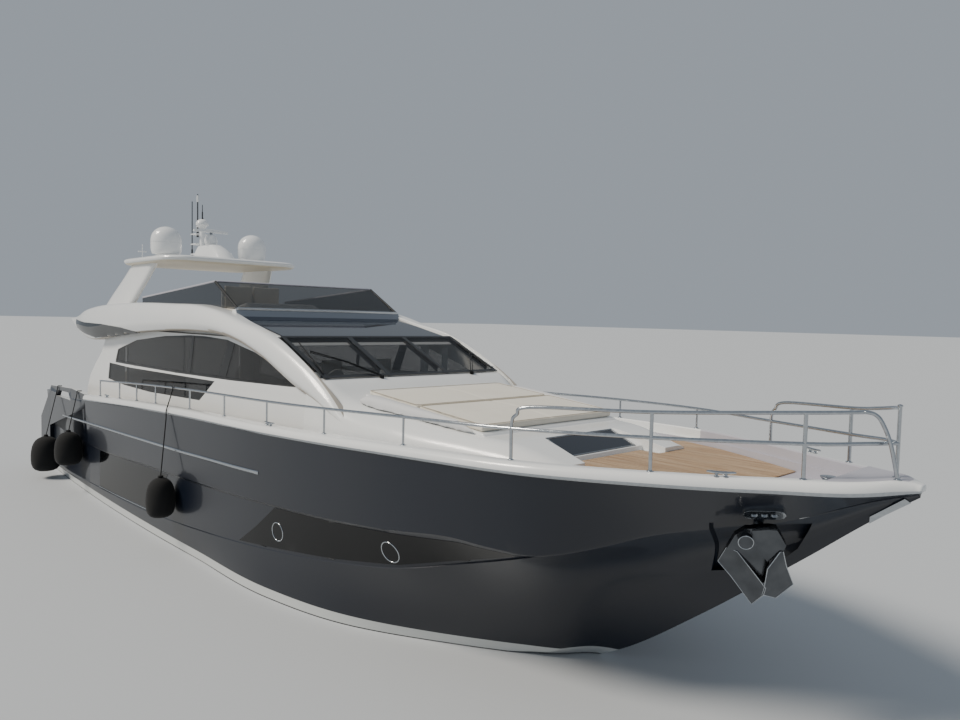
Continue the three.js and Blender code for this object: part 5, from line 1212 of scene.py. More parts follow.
def screwed(name, places, radius, high):
    """Pan-head screws at (place, outward direction) pairs: Geometry Nodes set one head on each place."""
    mesh = bpy.data.meshes.new(name)
    mesh.from_pydata([tuple(place) for place, _ in places], [], [])
    outward = mesh.attributes.new("outward", "FLOAT_VECTOR", "POINT")
    outward.data.foreach_set("vector", [value for _, facing in places for value in facing])
    piece = placed(name, mesh)
    tree = bpy.data.node_groups.new("screw_heads", "GeometryNodeTree")
    sockets = {}
    for label, kind in (("Geometry", "Geometry"), ("Head radius", "Float"), ("Head height", "Float"),
        ("Surface", "Material")):
        sockets[label] = tree.interface.new_socket(label, in_out="INPUT", socket_type=f"NodeSocket{kind}")
    tree.interface.new_socket("Geometry", in_out="OUTPUT", socket_type="NodeSocketGeometry")
    given = add(tree, "NodeGroupInput")
    head = add(tree, "GeometryNodeMeshCone", {"fill_type": "NGON"}, {"Vertices": 10, "Side Segments": 2,
        "Radius Top": 0.0, "Radius Bottom": given["Head radius"], "Depth": given["Head height"]})["Mesh"]
    facing = add(tree, "GeometryNodeInputNamedAttribute", {"data_type": "FLOAT_VECTOR"}, {"Name": "outward"})
    turn = add(tree, "FunctionNodeAlignRotationToVector", {"axis": "Z"}, {"Vector": facing["Attribute"]})["Rotation"]
    heads = add(tree, "GeometryNodeInstanceOnPoints", inputs={"Points": given["Geometry"], "Instance": head,
        "Rotation": turn})["Instances"]
    real = add(tree, "GeometryNodeRealizeInstances", inputs={"Geometry": heads})["Geometry"]
    shown = add(tree, "GeometryNodeSetMaterial", inputs={"Geometry": real, "Material": given["Surface"]})["Geometry"]
    add(tree, "NodeGroupOutput", inputs={"Geometry": shown})
    grown = piece.modifiers.new("screw_heads", "NODES")
    grown.node_group = tree
    for label, value in (("Head radius", radius), ("Head height", high), ("Surface", steel_polished)):
        grown[sockets[label].identifier] = value
    return settled(piece, 35)


FLANGE = [(0, 0), (0.046, 0), (0.046, 0.005), (0.043, 0.008), (0.03, 0.01), (0.027, 0.022), (0, 0.022)]
FLANGE_SUNK, SCREW_RING, SCREW_RADIUS, SCREW_HIGH = 0.001, 0.037, 0.0045, 0.003
for side, bow_posts, hoop_from, rise in RAILS:
    hand = "starboard" if side < 0 else "port"
    post_xs = AFT_POSTS + bow_posts
    low = [on_cap(x, side, along(rise, x, 1)) for x in post_xs]
    low += [(12.45, side * 0.33, cap_top(12.45) + along(rise, 12.45, 1)), (BOW_POST_X, 0, BOW_POST_FOOT + 0.4)]
    hoop_posts = [x for x in post_xs if x > hoop_from]
    hoop = [on_cap(hoop_from, side, 0), on_cap(hoop_from, side, along(rise, hoop_from, 1) + 0.06),
        on_cap(hoop_from + 0.07, side, along(rise, hoop_from + 0.07, 2) - 0.11),
        on_cap(hoop_from + 0.28, side, along(rise, hoop_from + 0.28, 2))]
    hoop += [on_cap(x, side, along(rise, x, 2)) for x in hoop_posts]
    hoop += LEG_DOWN if side < 0 else TO_POST
    runs = [(low, RAIL_RADIUS, 8), (hoop, RAIL_RADIUS, 10)]
    feet = []
    for x in post_xs:
        high = x > hoop_from
        if x != hoop_from:
            runs.append(([on_cap(x, side, 0), on_cap(x, side, along(rise, x, 2 if high else 1))],
                RAIL_RADIUS if high else POST_RADIUS, 1))
        feet.append(turned("flange", FLANGE, on_cap(x, side, -FLANGE_SUNK), 20))
    if side < 0:
        runs.append(([(BOW_POST_X, 0, BOW_POST_FOOT), (BOW_POST_X, 0, BOW_POST_FOOT + 0.83)], 0.022, 1))
        feet.append(turned("flange", FLANGE, (BOW_POST_X, 0, BOW_POST_FOOT - FLANGE_SUNK), 20))
        feet.append(turned("flange", FLANGE, (*LEG_FOOT[:2], LEG_FOOT[2] - FLANGE_SUNK), 20))
        feet.append(turned("post_cap", [(0, 0), (0.03, 0), (0.032, 0.012), (0.022, 0.024), (0, 0.03)],
            (BOW_POST_X, 0, BOW_POST_FOOT + 0.83), 20))
    rail = joined(f"guard_rail_{hand}", [piped("tubes", runs, 14)] + feet)
    fit(rail, steel_polished, replaces=(f"rail_{hand}",))
    screws = []
    for x in post_xs:
        for turn in (45, 135, 225, 315):
            foot = Vector(on_cap(x, side, 0.0065))
            out = Vector((math.cos(math.radians(turn)), math.sin(math.radians(turn)), 0))
            screws.append((foot + out * SCREW_RING, (0, 0, 1)))
    fit(screwed(f"flange_screws_{hand}", screws, SCREW_RADIUS, SCREW_HIGH), steel_polished)


# ---- Ground tackle and mooring gear: stainless castings and forgings. The bower anchor houses in its
# pocket, the hawses beside it are oval castings, and the windlass stands on the foredeck.
anchor = softened(merged_copy("anchor", "bower_anchor"), 0.012, 3)
# Worn galvanised steel: dark and wet-looking, with lighter clouds where it has rubbed
steel_worn, tree, shader = finish("galvanised_steel_worn_dark", {"Metallic": 1.0, "Roughness": 0.2})
place = add(tree, "ShaderNodeTexCoord")["Object"]
mottled(tree, shader, place, (5.0, 3.0), "46494d", "6e7175")
fit(anchor, steel_worn, replaces=("anchor",))


def circle(count, closed=True):
    """Angles of so many even steps round a circle, with the first again at the end if it closes."""
    return [2 * math.pi * i / count for i in range(count + closed)]


# The flukes' rims and the crown boss carry polished steel as a painted highlight, for the light their edges catch.
# Their outlines are drawn flat, as in the CAD.
ANCHOR_AT, ALONG, UPWARD = Vector((11.34, -0.935, 2.715)), Vector((0.85, 0.53, 0)), Vector((0.127, -0.203, 0.971))
RIDGE, FOLD, FLUKE_FACE, BOSS_FACE, BOSS_RADIUS, RIM_HIGHLIGHT_RADIUS = 0.25, 0.35, 0.166, 0.13, 0.088, 0.006
FLUKES = [
    [(-0.208, -0.16), (-0.296, -0.377), (-0.138, -0.537), (0.023, -0.728), (0.117, -0.843), (0.241, -0.67),
        (0.26, -0.578), (-0.084, -0.176)],
    [(0.262, -0.311), (0.238, -0.6), (0.222, -0.672), (0.392, -0.725), (0.584, -0.552), (0.48, -0.286),
        (0.43, -0.089), (0.395, -0.093)],
]
ALONG.normalize()
UPWARD = (UPWARD - ALONG * UPWARD.dot(ALONG)).normalized()


def on_anchor(u, v, w):
    return ANCHOR_AT + ALONG * u + UPWARD * v + ALONG.cross(UPWARD) * w


edges = [([on_anchor(u, v, FLUKE_FACE - abs(u - RIDGE) * FOLD) for u, v in outline + outline[:1]], RIM_HIGHLIGHT_RADIUS, 1)
    for outline in FLUKES]
edges.append(([on_anchor(BOSS_RADIUS * math.cos(t), BOSS_RADIUS * math.sin(t), BOSS_FACE) for t in circle(32)],
    RIM_HIGHLIGHT_RADIUS, 1))
# Bright rims painted as highlights on the anchor's edges
fit(piped("anchor_highlight_rims", edges, 8), steel_polished)
for hand in ("starboard", "port"):
    fit(softened(merged_copy(f"hawse_{hand}", f"hawse_casting_{hand}", 40), 0.008, 3), steel_polished,
        replaces=(f"hawse_{hand}",))
    fit(softened(merged_copy(f"rub_rail_{hand}", f"rub_rail_strip_{hand}", 40), 0.006, 2), steel_polished,
        replaces=(f"rub_rail_{hand}",))
fit(merged_copy("stem_plate", "stem_shoe", 30), steel_polished, replaces=("stem_plate",))
# Screws along both rub rails, 300 mm apart
RUB_RAIL, SCREW_PITCH = [(-10.9, 1.99), (-6.34, 2.13), (-3.06, 2.212), (0.46, 2.3), (2.95, 2.378)], 0.3
rub_screws = []
for side, hand in HANDS:
    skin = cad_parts[f"rub_rail_{hand}"].data
    face = BVHTree.FromPolygons([v.co for v in skin.vertices], [p.vertices for p in skin.polygons])
    for i in range(45):
        x = RUB_RAIL[0][0] + 0.2 + SCREW_PITCH * i
        spot = face.find_nearest(Vector((x, side * 3.6, along(RUB_RAIL, x, 1))))[0]
        rub_screws.append((spot, (0, side, 0)))
fit(screwed("rub_rail_screws", rub_screws, SCREW_RADIUS, SCREW_HIGH), steel_polished)
WINDLASS_X = 11.93
gearbox = solid_prism("gearbox", oblong(11.8, -0.15, 12.06, 0.15), "z", FOREDECK_Z + 0.0004, FOREDECK_Z + 0.15)
gear = [softened(gearbox, 0.03, 4), turned("drum", [(0, 0), (0.09, 0), (0.09, 0.012), (0.07, 0.03), (0.062, 0.055),
    (0.066, 0.08), (0.088, 0.105), (0.095, 0.118), (0.095, 0.126), (0.06, 0.13), (0, 0.13)],
    (WINDLASS_X, 0, FOREDECK_Z + 0.14), 32)]
for number, part in enumerate(gear):
    part.name = f"windlass_part_{number}"
    fit(part, steel_polished)
    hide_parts("windlass")

# Locker lid: lilac-grey moulding with a raised rim, hinged at its fore edge and lifted by a ring
lid = softened(merged_copy("bow_locker_lid", "locker_lid"), 0.012, 3)
fit(lid, gelcoat_lilac, "bow_locker_lid_body", replaces=("bow_locker_lid",))
LIFT_X, LIFT_RADIUS = 11.08, 0.035
ring_points = [(LIFT_X + LIFT_RADIUS * math.cos(t), LIFT_RADIUS * math.sin(t), 3.2155) for t in circle(24)]
fit(piped("locker_lid_ring", [(ring_points, 0.005, 1)], 8), steel_polished, "bow_locker_lid_body")
hinges = [softened(solid_prism("hinge", oblong(11.5, y - 0.02, 11.59, y + 0.02), "z", 3.208, 3.2135), 0.002, 2)
    for y in (-0.2, 0.2)]
fit(joined("locker_lid_hinges", hinges), steel_polished, "bow_locker_lid_body")


# Cleats: cast horn cleats on the cap, two feet under a tapered bar, given as (share of the cleat's
# length from its middle, height, radius)
CLEAT_LONG = 0.34
CLEAT_HORN = [(-0.5, 0.058, 0.009), (-0.42, 0.06, 0.014), (-0.2, 0.052, 0.019), (0, 0.05, 0.02),
    (0.2, 0.052, 0.019), (0.42, 0.06, 0.014), (0.5, 0.058, 0.009)]


def cleat(at, heading):
    """A horn cleat whose bar runs along a heading in the plane of the deck."""
    forward = Vector((math.cos(heading), math.sin(heading), 0))
    spot = Vector(at)
    rings = []
    across = Vector((-forward.y, forward.x, 0))
    for share, height, radius in CLEAT_HORN:
        rings.append([spot + forward * share * CLEAT_LONG + Vector((0, 0, height)) + (across * math.cos(t)
            + Vector((0, 0, 1)) * math.sin(t)) * radius for t in circle(14, False)])
    parts = [loft("horn", rings, 40)]
    for share in (-0.16, 0.16):
        foot = spot + forward * share * CLEAT_LONG
        parts.append(turned("cleat_foot", [(0, 0), (0.034, 0), (0.034, 0.006), (0.02, 0.014), (0.016, 0.05),
            (0, 0.05)], tuple(foot), 20))
    return parts


CLEATS = [(3.34, -1), (3.34, 1), (-5.6, -1), (-5.6, 1), (11.2, -1), (11.2, 1)]
cleats = []
for x, side in CLEATS:
    y = sheer(x)[0] - 0.06
    slope = math.atan2(sheer(x + 0.2)[0] - sheer(x - 0.2)[0], 0.4) * side
    cleats += cleat((x, side * y, cap_top(x) - 0.003), slope)
fit(joined("mooring_cleats", cleats), steel_polished)

# Portholes: round opening ports in the bow panes, in polished rims
PORTS = [(3.41, 1.35, 0.17), (6.38, 1.64, 0.17)]
rims = []
for side in (-1, 1):
    for x, z, radius in PORTS:
        loop = []
        for turn in circle(48):
            px, pz = x + radius * math.cos(turn), z + radius * math.sin(turn)
            loop.append((px, side * (topside_y(px, pz) + PANE_PROUD + 0.001), pz))
        rims.append((loop, 0.011, 1))
fit(piped("porthole_rims", rims, 10), steel_polished)
# Polished steel line along the foot of the aft panes, a painted highlight where the lower knuckle catches the light
KNUCKLE_HIGHLIGHT_FOOT = [(-6.5, 0.415), (-5.1, 0.45), (-3.7, 0.495), (-2.3, 0.54)]
knuckle_highlights = [([(x, side * (topside_y(x, z) + 0.004), z) for x, z in KNUCKLE_HIGHLIGHT_FOOT], 0.012, 6) for side in (-1, 1)]
fit(piped("hull_pane_knuckle_highlights", knuckle_highlights, 10), steel_polished)


# ---- Sun pads: foam in sewn covers of cream outdoor cloth, piped along their edges. They lie on the
# plinth with a padded bolster along each side, held by snap fasteners, its cover painted a grey-white that stands in
# for the shade it lies in.
# Woven acrylic: matt and slightly furred, faded in clouds by the sun
woven, tree, shader = finish("outdoor_acrylic_cloth_cream", {"Roughness": 0.9, "Sheen Weight": 0.25,
    "Sheen Roughness": 0.5, "IOR": 1.4})
place = add(tree, "ShaderNodeTexCoord")["Object"]
mottled(tree, shader, place, (1.6, 4.0), "ddd7c8", "ebe6da")
# A plain weave of 1.6 mm threads, too fine to see from the camera but there close by
THREAD = 0.0016
ways = add(tree, "ShaderNodeSeparateXYZ", inputs={"Vector": place})
threads = []
for way in (ways["X"], ways["Y"]):
    wave = add(tree, "ShaderNodeMath", {"operation": "MULTIPLY"}, {0: way, 1: math.pi / THREAD})[0]
    threads.append(add(tree, "ShaderNodeMath", {"operation": "SINE"}, {0: wave})[0])
weave = add(tree, "ShaderNodeMath", {"operation": "MULTIPLY"}, {0: threads[0], 1: threads[1]})[0]
creased = add(tree, "ShaderNodeTexNoise", inputs={"Vector": place, "Scale": 7.0, "Detail": 3.0})["Fac"]
cloth_relief = add(tree, "ShaderNodeMath", {"operation": "MULTIPLY_ADD"}, {0: weave, 1: 0.02, 2: creased})[0]
bump = add(tree, "ShaderNodeBump", inputs={"Height": cloth_relief, "Strength": 0.35, "Distance": 0.012})
tree.links.new(bump["Normal"], shader.inputs["Normal"])
# Taupe cord covers, and the coated cloth of the bolsters, smoother than the woven one, in a grey-white of painted
# shade
piping = finish("piping_cord_cover_taupe", {"Base Color": linear("b9ae9b"), "Roughness": 0.85})[0]
bolster_shade_grey = finish("coated_cloth_painted_shade_grey", {"Base Color": linear("cfd0d1"), "Roughness": 0.6,
    "Sheen Weight": 0.1})[0]


COVER_PRESSURE, SWELL_FRAMES, EVERY_EDGE = 4, 20, 180


def stuffed(piece, cell, most, under=None):
    """Blows a cover up as cloth, so that no point moves further than most, and rounds it once more.

    Points that start below under(x, y) stay where they are, because they rest on something.
    """
    grid = piece.modifiers.new("cells", "REMESH")
    grid.mode = "VOXEL"
    grid.voxel_size = cell
    settled(piece, EVERY_EDGE)
    rest = [v.co.copy() for v in piece.data.vertices]
    cover = piece.modifiers.new("cover", "CLOTH")
    cover.settings.use_pressure = True
    cover.settings.uniform_pressure_force = COVER_PRESSURE
    cover.settings.effector_weights.gravity = 0
    cover.settings.quality = 4
    cover.point_cache.frame_start, cover.point_cache.frame_end = 1, SWELL_FRAMES
    for frame_number in range(1, SWELL_FRAMES + 1):
        bpy.context.scene.frame_set(frame_number)
    blown = piece.evaluated_get(bpy.context.evaluated_depsgraph_get()).data
    moved = [v.co - start for v, start in zip(blown.vertices, rest)]
    piece.modifiers.clear()
    furthest = max(move.length for move in moved)
    for vertex, start, move in zip(piece.data.vertices, rest, moved):
        held = under is not None and start.z < under(start.x, start.y)
        vertex.co = start if held else start + move * (most / furthest)
    rounding = piece.modifiers.new("rounding", "SUBSURF")
    rounding.levels = rounding.render_levels = 1
    return piece


def pad_top(x):
    """Height of the pads' covers, which slope down to the bow with the plinth under them."""
    return 3.975 - (x - 4.42) * 0.28 / 3


def pad_foot(x):
    return 3.89 - (x - 4.38) * 0.33 / 3.09


def sewn_channel(piece, across, half_wide, deep, above):
    """Draws a seam into the top of a cushion where across(x, y) is near zero."""
    for vertex in piece.data.vertices:
        away = abs(across(vertex.co.x, vertex.co.y))
        if away < half_wide and vertex.co.z > above(vertex.co.x):
            vertex.co.z -= deep * (0.5 + 0.5 * math.cos(math.pi * away / half_wide))


PAD_HALF, PAD_CELL, PAD_CROWN, PAD_EDGE = 1.645, 0.034, 0.03, 0.016
for node, start, stop in (("sunpad_rear", 4.432, 5.838), ("sunpad_front", 5.868, 7.428)):
    pad = solid_prism(node, [(start, pad_foot(start) + 0.004), (stop, pad_foot(stop) + 0.004),
        (stop, pad_top(stop) - 0.035), (stop - 0.03, pad_top(stop) - PAD_EDGE),
        (start + 0.03, pad_top(start) - PAD_EDGE), (start, pad_top(start) - 0.035)], "y", -PAD_HALF, PAD_HALF)
    stuffed(pad, PAD_CELL, PAD_CROWN, lambda x, y: pad_foot(x) + 0.02)
    sewn_channel(pad, lambda x, y: y, 0.05, 0.014, lambda x: pad_top(x) - 0.04)
    sewn_channel(pad, lambda x, y: x - (start + stop) / 2, 0.04, 0.006, lambda x: pad_top(x) - 0.04)
    pad.data.name = pad.name = f"{node}_cover"
    fit(pad, woven, replaces=(node,))
    corners = [(start + 0.02, PAD_HALF - 0.01), (stop - 0.02, PAD_HALF - 0.01), (stop - 0.02, 0.01 - PAD_HALF),
        (start + 0.02, 0.01 - PAD_HALF)]
    loop = []
    for (ax, ay), (bx, by) in zip(corners, corners[1:] + corners[:1]):
        loop += [(ax + (bx - ax) * t, ay + (by - ay) * t, pad_top(ax + (bx - ax) * t) - 0.012) for t in
            (0.02, 0.35, 0.65, 0.98)]
    fit(piped(f"{node}_piping", [(loop + loop[:1], 0.006, 1)], 8), piping)

BOLSTER_IN, BOLSTER_X = 1.712, (4.66, 7.32)
# Across its width and up its height, from the inboard foot over the top to the outboard foot
BOLSTER_SECTION = [(0.0, 0.0), (0.0, 0.7), (0.06, 0.95), (0.3, 1.0), (0.5, 1.0), (0.72, 0.9), (0.9, 0.55),
    (0.99, 0.15), (1.0, 0.0)]
for side, hand in HANDS:
    rings = []
    for x in steps(*BOLSTER_X, 24):
        row = smooth_rows(COACHROOF, [x])[0]
        foot, outer = row[2] + 0.012, row[1] - 0.03
        ends = min(1.0, (x - BOLSTER_X[0]) / 0.3 + 0.55, (BOLSTER_X[1] - x) / 0.5 + 0.4)
        rise = (pad_top(x) - foot) * ends - 0.012
        wide = max(outer - BOLSTER_IN, 0.04)
        rings.append([(x, side * (BOLSTER_IN + wide * u), foot + rise * v) for u, v in BOLSTER_SECTION])
    bolster = loft(f"bolster_{hand}_cover", rings, 60)
    stuffed(bolster, 0.03, 0.014, lambda x, y: smooth_rows(COACHROOF, [x])[0][2] + 0.03)
    # The bolster's grey-white cover is painted shade
    fit(bolster, bolster_shade_grey, replaces=(f"bolster_{hand}",))


# ---- Seen through the glass: a dark helm console the full width of the saloon, white leather helm
# seats on a raised base, a leather sofa, a wheel, and white curtains drawn to the mullions.
def pebbled(tree, shader, place, scale, strength, high):
    """Gives a surface a fine relief of round cells, as of embossed vinyl, leather or knitting."""
    cells = add(tree, "ShaderNodeTexVoronoi", inputs={"Vector": place, "Scale": scale})["Distance"]
    bump = add(tree, "ShaderNodeBump", inputs={"Height": cells, "Strength": strength, "Distance": high})
    tree.links.new(bump["Normal"], shader.inputs["Normal"])


# Stitched vinyl over foam: charcoal and matt, so the screen doesn't mirror it
dash_skin, tree, shader = finish("stitched_vinyl_charcoal", {"Base Color": linear("1b1d20"), "Roughness": 0.55})
pebbled(tree, shader, add(tree, "ShaderNodeTexCoord")["Object"], 350.0, 0.2, 0.001)
fit(softened(merged_copy("dashboard", "helm_console"), 0.03, 4), dash_skin, replaces=("dashboard",))

# Smooth hide, off-white, with a fine pebble and a satin face
leather, tree, shader = finish("smooth_leather_off_white", {"Roughness": 0.48, "IOR": 1.45})
place = add(tree, "ShaderNodeTexCoord")["Object"]
mottled(tree, shader, place, (3.0, 3.0), "d6cfc0", "e6e1d6")
pebbled(tree, shader, place, 420.0, 0.15, 0.0008)


def block(name, low, high):
    return solid_prism(name, oblong(*low[:2], *high[:2]), "z", low[2], high[2])


def cushion(name, low, high, cell=0.03, most=0.02):
    """A box cushion: its cover starts a little small and is blown up, flat where it rests."""
    margin = most * 0.6
    start = block(name, [v + margin for v in low[:2]] + [low[2] + 0.002], [v - margin for v in high])
    stuffed(softened(start, 0.02, 2), cell, most, lambda x, y: low[2] + 0.02)
    fit(start, leather)
    return start


def upholstered(node, frame_boxes, cushions):
    """A moulded seat base of boxes with loose cushions on it; together they stand for one node."""
    base = joined(f"{node}_base", [block("box", low, high) for low, high in frame_boxes])
    fit(softened(base, 0.015, 3), gelcoat_white)
    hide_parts(node)
    for number, (low, high) in enumerate(cushions):
        piece = cushion(f"{node}_cushion_{number}", low, high)
        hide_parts(node)


FLOOR = 2.4504
helm_base = softened(block("helm_seat_base", (0.7, -1.7, FLOOR), (1.9, 1.7, 3.0)), 0.02, 3)
fit(helm_base, gelcoat_white)
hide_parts("helm_seats")
for number, y in enumerate((-1.2, -0.3, 1.1)):
    pillar = turned(f"helm_seat_pillar_{number}", [(0, 0), (0.15, 0), (0.15, 0.02), (0.07, 0.05), (0.06, 0.42),
        (0.14, 0.45), (0, 0.45)], (1.4, y, 2.999), 28)
    fit(pillar, alloy_satin)
    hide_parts("helm_seats")
    squab = cushion(f"helm_seat_squab_{number}", (1.12, y - 0.28, 3.446), (1.64, y + 0.28, 3.578), 0.025, 0.014)
    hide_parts("helm_seats")
    back = solid_prism(f"helm_seat_back_{number}", [(1.07, 3.47), (1.21, 3.5), (1.12, 4.3), (1.03, 4.3)], "y",
        y - 0.26, y + 0.26)
    stuffed(softened(back, 0.02, 2), 0.025, 0.014)
    fit(back, leather)
    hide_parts("helm_seats")

upholstered("saloon_sofa", [((-6.6, 1.5, FLOOR), (-2.6, 2.28, 2.72)), ((-6.6, 0.3, FLOOR), (-5.9, 1.5, 2.72))],
    [((-5.88, 1.52, 2.72), (-4.25, 2.12, 2.9)), ((-4.23, 1.52, 2.72), (-2.62, 2.12, 2.9)),
    ((-5.88, 2.13, 2.72), (-4.25, 2.28, 3.18)), ((-4.23, 2.13, 2.72), (-2.62, 2.28, 3.18)),
    ((-6.58, 0.32, 2.72), (-5.9, 1.5, 2.9)), ((-6.58, 1.52, 2.72), (-5.9, 2.12, 2.9))])

# Steering wheel on the console, and white curtains hung in folds beside the windscreen's mullions
WHEEL_X, WHEEL_Y = 2.62, -1.2
wheel = [(WHEEL_X + 0.16 * math.sin(t) * 0.5, WHEEL_Y + 0.2 * math.cos(t), 4.02 + 0.19 * math.sin(t))
    for t in circle(36)]
column = ([(WHEEL_X, WHEEL_Y, 4.0), (2.75, WHEEL_Y, 3.95)], 0.02, 1)
spokes = [([(2.7, WHEEL_Y, 4.0), (WHEEL_X, WHEEL_Y + 0.2 * math.cos(t), 4.02 + 0.19 * math.sin(t))], 0.009, 1)
    for t in (0.5, 2.6, 4.7)]
fit(piped("steering_wheel", [(wheel, 0.014, 1), column] + spokes, 10),
    leather)
# Linen: matt white threads that catch a little light at their edges
linen = finish("curtain_linen_white", {"Base Color": linear("e3e4e4"), "Roughness": 0.85,
    "Sheen Weight": 0.2})[0]
CURTAIN_FOLD, CURTAIN_THICK, CURTAIN_FOOT = 0.018, 0.002, 3.75
for number, (x, y_low, y_high, head) in enumerate(((1.9, 1.62, 1.86, 4.66), (2.2, 2.02, 2.2, 4.6))):
    rings = []
    for z in (CURTAIN_FOOT, 4.2, head):
        front, back = [], []
        for i in range(41):
            y = y_low + (y_high - y_low) * i / 40
            fold = CURTAIN_FOLD * math.sin(2 * math.pi * i / 8)
            front.append((x + fold + CURTAIN_THICK, y, z))
            back.append((x + fold, y, z))
        rings.append(front + back[::-1])
    hung = loft(f"curtain_{number}", rings, 60)
    fit(hung, linen)
    wide = sum((Vector(b) - Vector(a)).length for a, b in zip(front, front[1:]))


# ---- Outside seats and tables: moulded bases with leather cushions, and a planked teak cockpit table
# on a polished pillar.
upholstered("cockpit_sofa", [((-11.6, -1.38, 2.4692), (-10.95, 1.38, 2.76)),
    ((-11.6, -1.38, 2.76), (-11.52, 1.38, 3.15))],
    [((-11.4, -1.36, 2.76), (-10.97, -0.005, 2.9)), ((-11.4, 0.005, 2.76), (-10.97, 1.36, 2.9)),
    ((-11.52, -1.36, 2.78), (-11.41, -0.005, 3.25)), ((-11.52, 0.005, 2.78), (-11.41, 1.36, 3.25))])
FLY_FLOOR = 4.9504
upholstered("fly_helm_bench", [((-2.35, -1.35, FLY_FLOOR), (-1.72, 0.2, FLY_FLOOR + 0.38)),
    ((-2.35, -1.35, FLY_FLOOR + 0.38), (-2.28, 0.2, FLY_FLOOR + 0.9))],
    [((-2.16, -1.33, FLY_FLOOR + 0.38), (-1.71, -0.58, FLY_FLOOR + 0.52)),
    ((-2.16, -0.57, FLY_FLOOR + 0.38), (-1.71, 0.18, FLY_FLOOR + 0.52)),
    ((-2.28, -1.33, FLY_FLOOR + 0.4), (-2.17, -0.58, FLY_FLOOR + 1.05)),
    ((-2.28, -0.57, FLY_FLOOR + 0.4), (-2.17, 0.18, FLY_FLOOR + 1.05))])
upholstered("fly_sofa", [((-6.45, 1.5, FLY_FLOOR), (-3.3, 2.12, FLY_FLOOR + 0.3)),
    ((-6.45, 0.3, FLY_FLOOR), (-5.8, 1.5, FLY_FLOOR + 0.3))],
    [((-5.78, 1.52, FLY_FLOOR + 0.3), (-4.55, 1.99, FLY_FLOOR + 0.43)),
    ((-4.54, 1.52, FLY_FLOOR + 0.3), (-3.32, 1.99, FLY_FLOOR + 0.43)),
    ((-6.43, 0.32, FLY_FLOOR + 0.3), (-5.8, 1.99, FLY_FLOOR + 0.43)),
    ((-6.43, 2.0, FLY_FLOOR + 0.3), (-4.55, 2.11, FLY_FLOOR + 0.56)),
    ((-4.54, 2.0, FLY_FLOOR + 0.3), (-3.32, 2.11, FLY_FLOOR + 0.56))])
fit(softened(merged_copy("fly_console", "fly_helm_console"), 0.04, 4), gelcoat_white,
    replaces=("fly_console",))
table_top = softened(block("cockpit_table_top", (-10.5, -0.7, 3.13), (-9.6, 0.7, 3.18)), 0.012, 3)
fit(table_top, teak_across, replaces=("cockpit_table",))
pillar = turned("cockpit_table_pillar", [(0, 0), (0.22, 0), (0.22, 0.012), (0.09, 0.03), (0.06, 0.06), (0.06, 0.63),
    (0.12, 0.655), (0, 0.655)], (-10.05, 0, 2.4692), 36)
fit(pillar, steel_polished, replaces=("cockpit_table",))


# ---- Running gear: nickel-aluminium bronze shafts, brackets and five-bladed propellers, with bronze
# spade rudders, all under the waterline.
# Cast and ground bronze: brown-gold, darker where the sea has tarnished it
bronze, tree, shader = finish("nickel_aluminium_bronze", {"Metallic": 1.0, "Roughness": 0.34})
place = add(tree, "ShaderNodeTexCoord")["Object"]
mottled(tree, shader, place, (9.0, 5.0), "8a6a3a", "b8924f")
for hand in ("starboard", "port"):
    fit(merged_copy(f"shaft_{hand}", f"shaft_line_{hand}", 40), bronze, replaces=(f"shaft_{hand}",))
    screw = softened(merged_copy(f"propeller_{hand}", f"propeller_casting_{hand}", 50), 0.004, 2, 60)
    fit(screw, bronze, f"propeller_{hand}_body", replaces=(f"propeller_{hand}",))
    blade = softened(merged_copy(f"rudder_{hand}", f"rudder_blade_{hand}", 30), 0.006, 2)
    fit(blade, bronze, f"rudder_{hand}_body", replaces=(f"rudder_{hand}",))


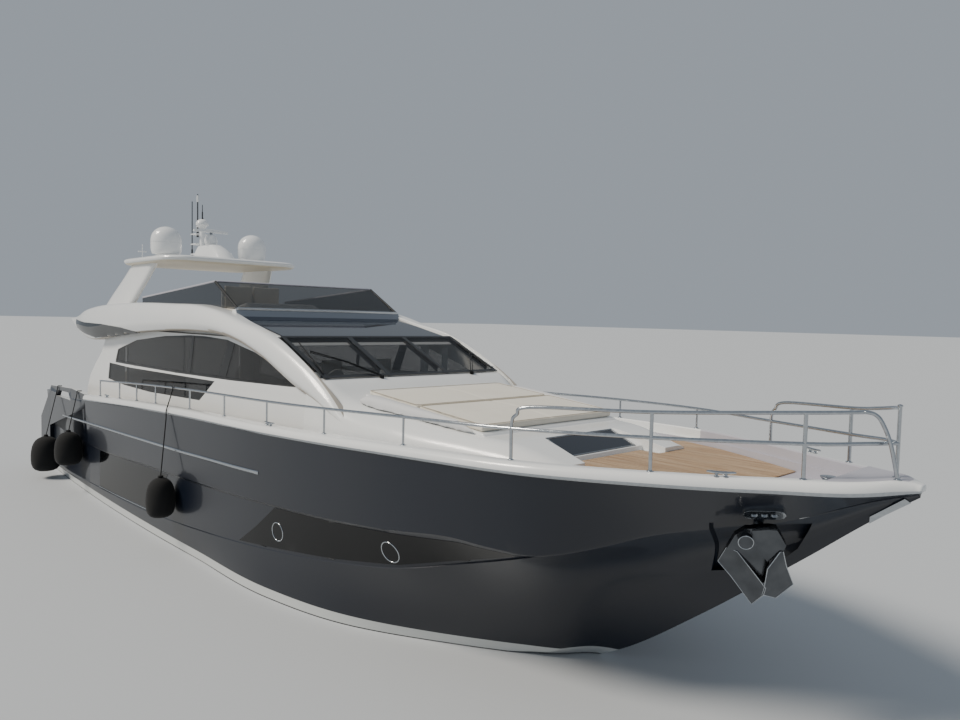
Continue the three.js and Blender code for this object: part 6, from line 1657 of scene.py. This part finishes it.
# ---- Fenders: three inflated vinyl fenders in black knitted covers along the starboard side, each
# hung from its neck on a black braided lanyard that goes over the cap to the rail, or over the wing.
# Knitted acrylic: deep black that swallows light, with stitches drawn 8 mm wide so that they show
knit, tree, shader = finish("knitted_fender_cover_black", {"Base Color": linear("0a0b0d"), "Roughness": 0.9,
    "Sheen Weight": 0.05})
pebbled(tree, shader, add(tree, "ShaderNodeTexCoord")["Object"], 130.0, 0.5, 0.003)
FENDERS = [
    # name, x, centre y, centre z, radius, half height
    ("fender_aft", -10.6, -3.29, 0.79, 0.42, 0.56),
    ("fender_quarter", -8.2, -3.275, 1.29, 0.37, 0.50),
    ("fender_side", -1.08, -3.3, 1.21, 0.308, 0.455),
]
FENDER_SHAPE = [(0, -1.02), (0.3, -1.01), (0.55, -0.975), (0.75, -0.9), (0.89, -0.77), (0.97, -0.58), (1.0, -0.34),
    (1.0, -0.1), (0.97, 0.16), (0.915, 0.38), (0.82, 0.57), (0.68, 0.73), (0.5, 0.84), (0.31, 0.9), (0.17, 0.93)]
LANYARD, WING_TOP = 0.012, [(-11.6, 2.83), (-8.9, 2.95), (-7.5, 2.9)]
for node, x, y, z, radius, high in FENDERS:
    profile = [(radius * u, high * v) for u, v in FENDER_SHAPE]
    profile += [(0.06, high * 0.97), (0.055, high * 1.03), (0, high * 1.03)]
    body = turned(f"{node}_cover", profile, (x, y, z), 40, 50)
    edge = -sheer(x)[0]
    if x > CAP_AFT_X:
        rail_y, rail_z = edge + RAIL_IN, cap_top(x) + 0.42
        past = edge - CAP_OUT - LANYARD - 0.006
        beside = rail_y - RAIL_RADIUS - LANYARD
        route = [(past, sheer(x)[1] - 0.06), (past, sheer(x)[1] + 0.09), (beside, rail_z - 0.04),
            (beside, rail_z + 0.03)]
    else:
        top = along(WING_TOP, x, 1)
        off = LANYARD + 0.004
        route = [(edge - off, top - 0.06), (edge - off, top - 0.004), (edge - 0.01, top + 0.012),
            (edge + 0.004, top + off + 0.002), (edge + 0.04, top + LANYARD + 0.0004),
            (edge + 0.11, top + LANYARD + 0.0004)]
    corners = [(x, py, pz) for py, pz in route[::-1]] + [(x, y, z + high - 0.02)]
    path = filleted(corners, (0.03,) * (len(corners) - 2))
    line = piped(f"{node}_lanyard", [(path, LANYARD, 1)], 12)
    for piece in (body, line):
        fit(piece, knit, replaces=(node,))
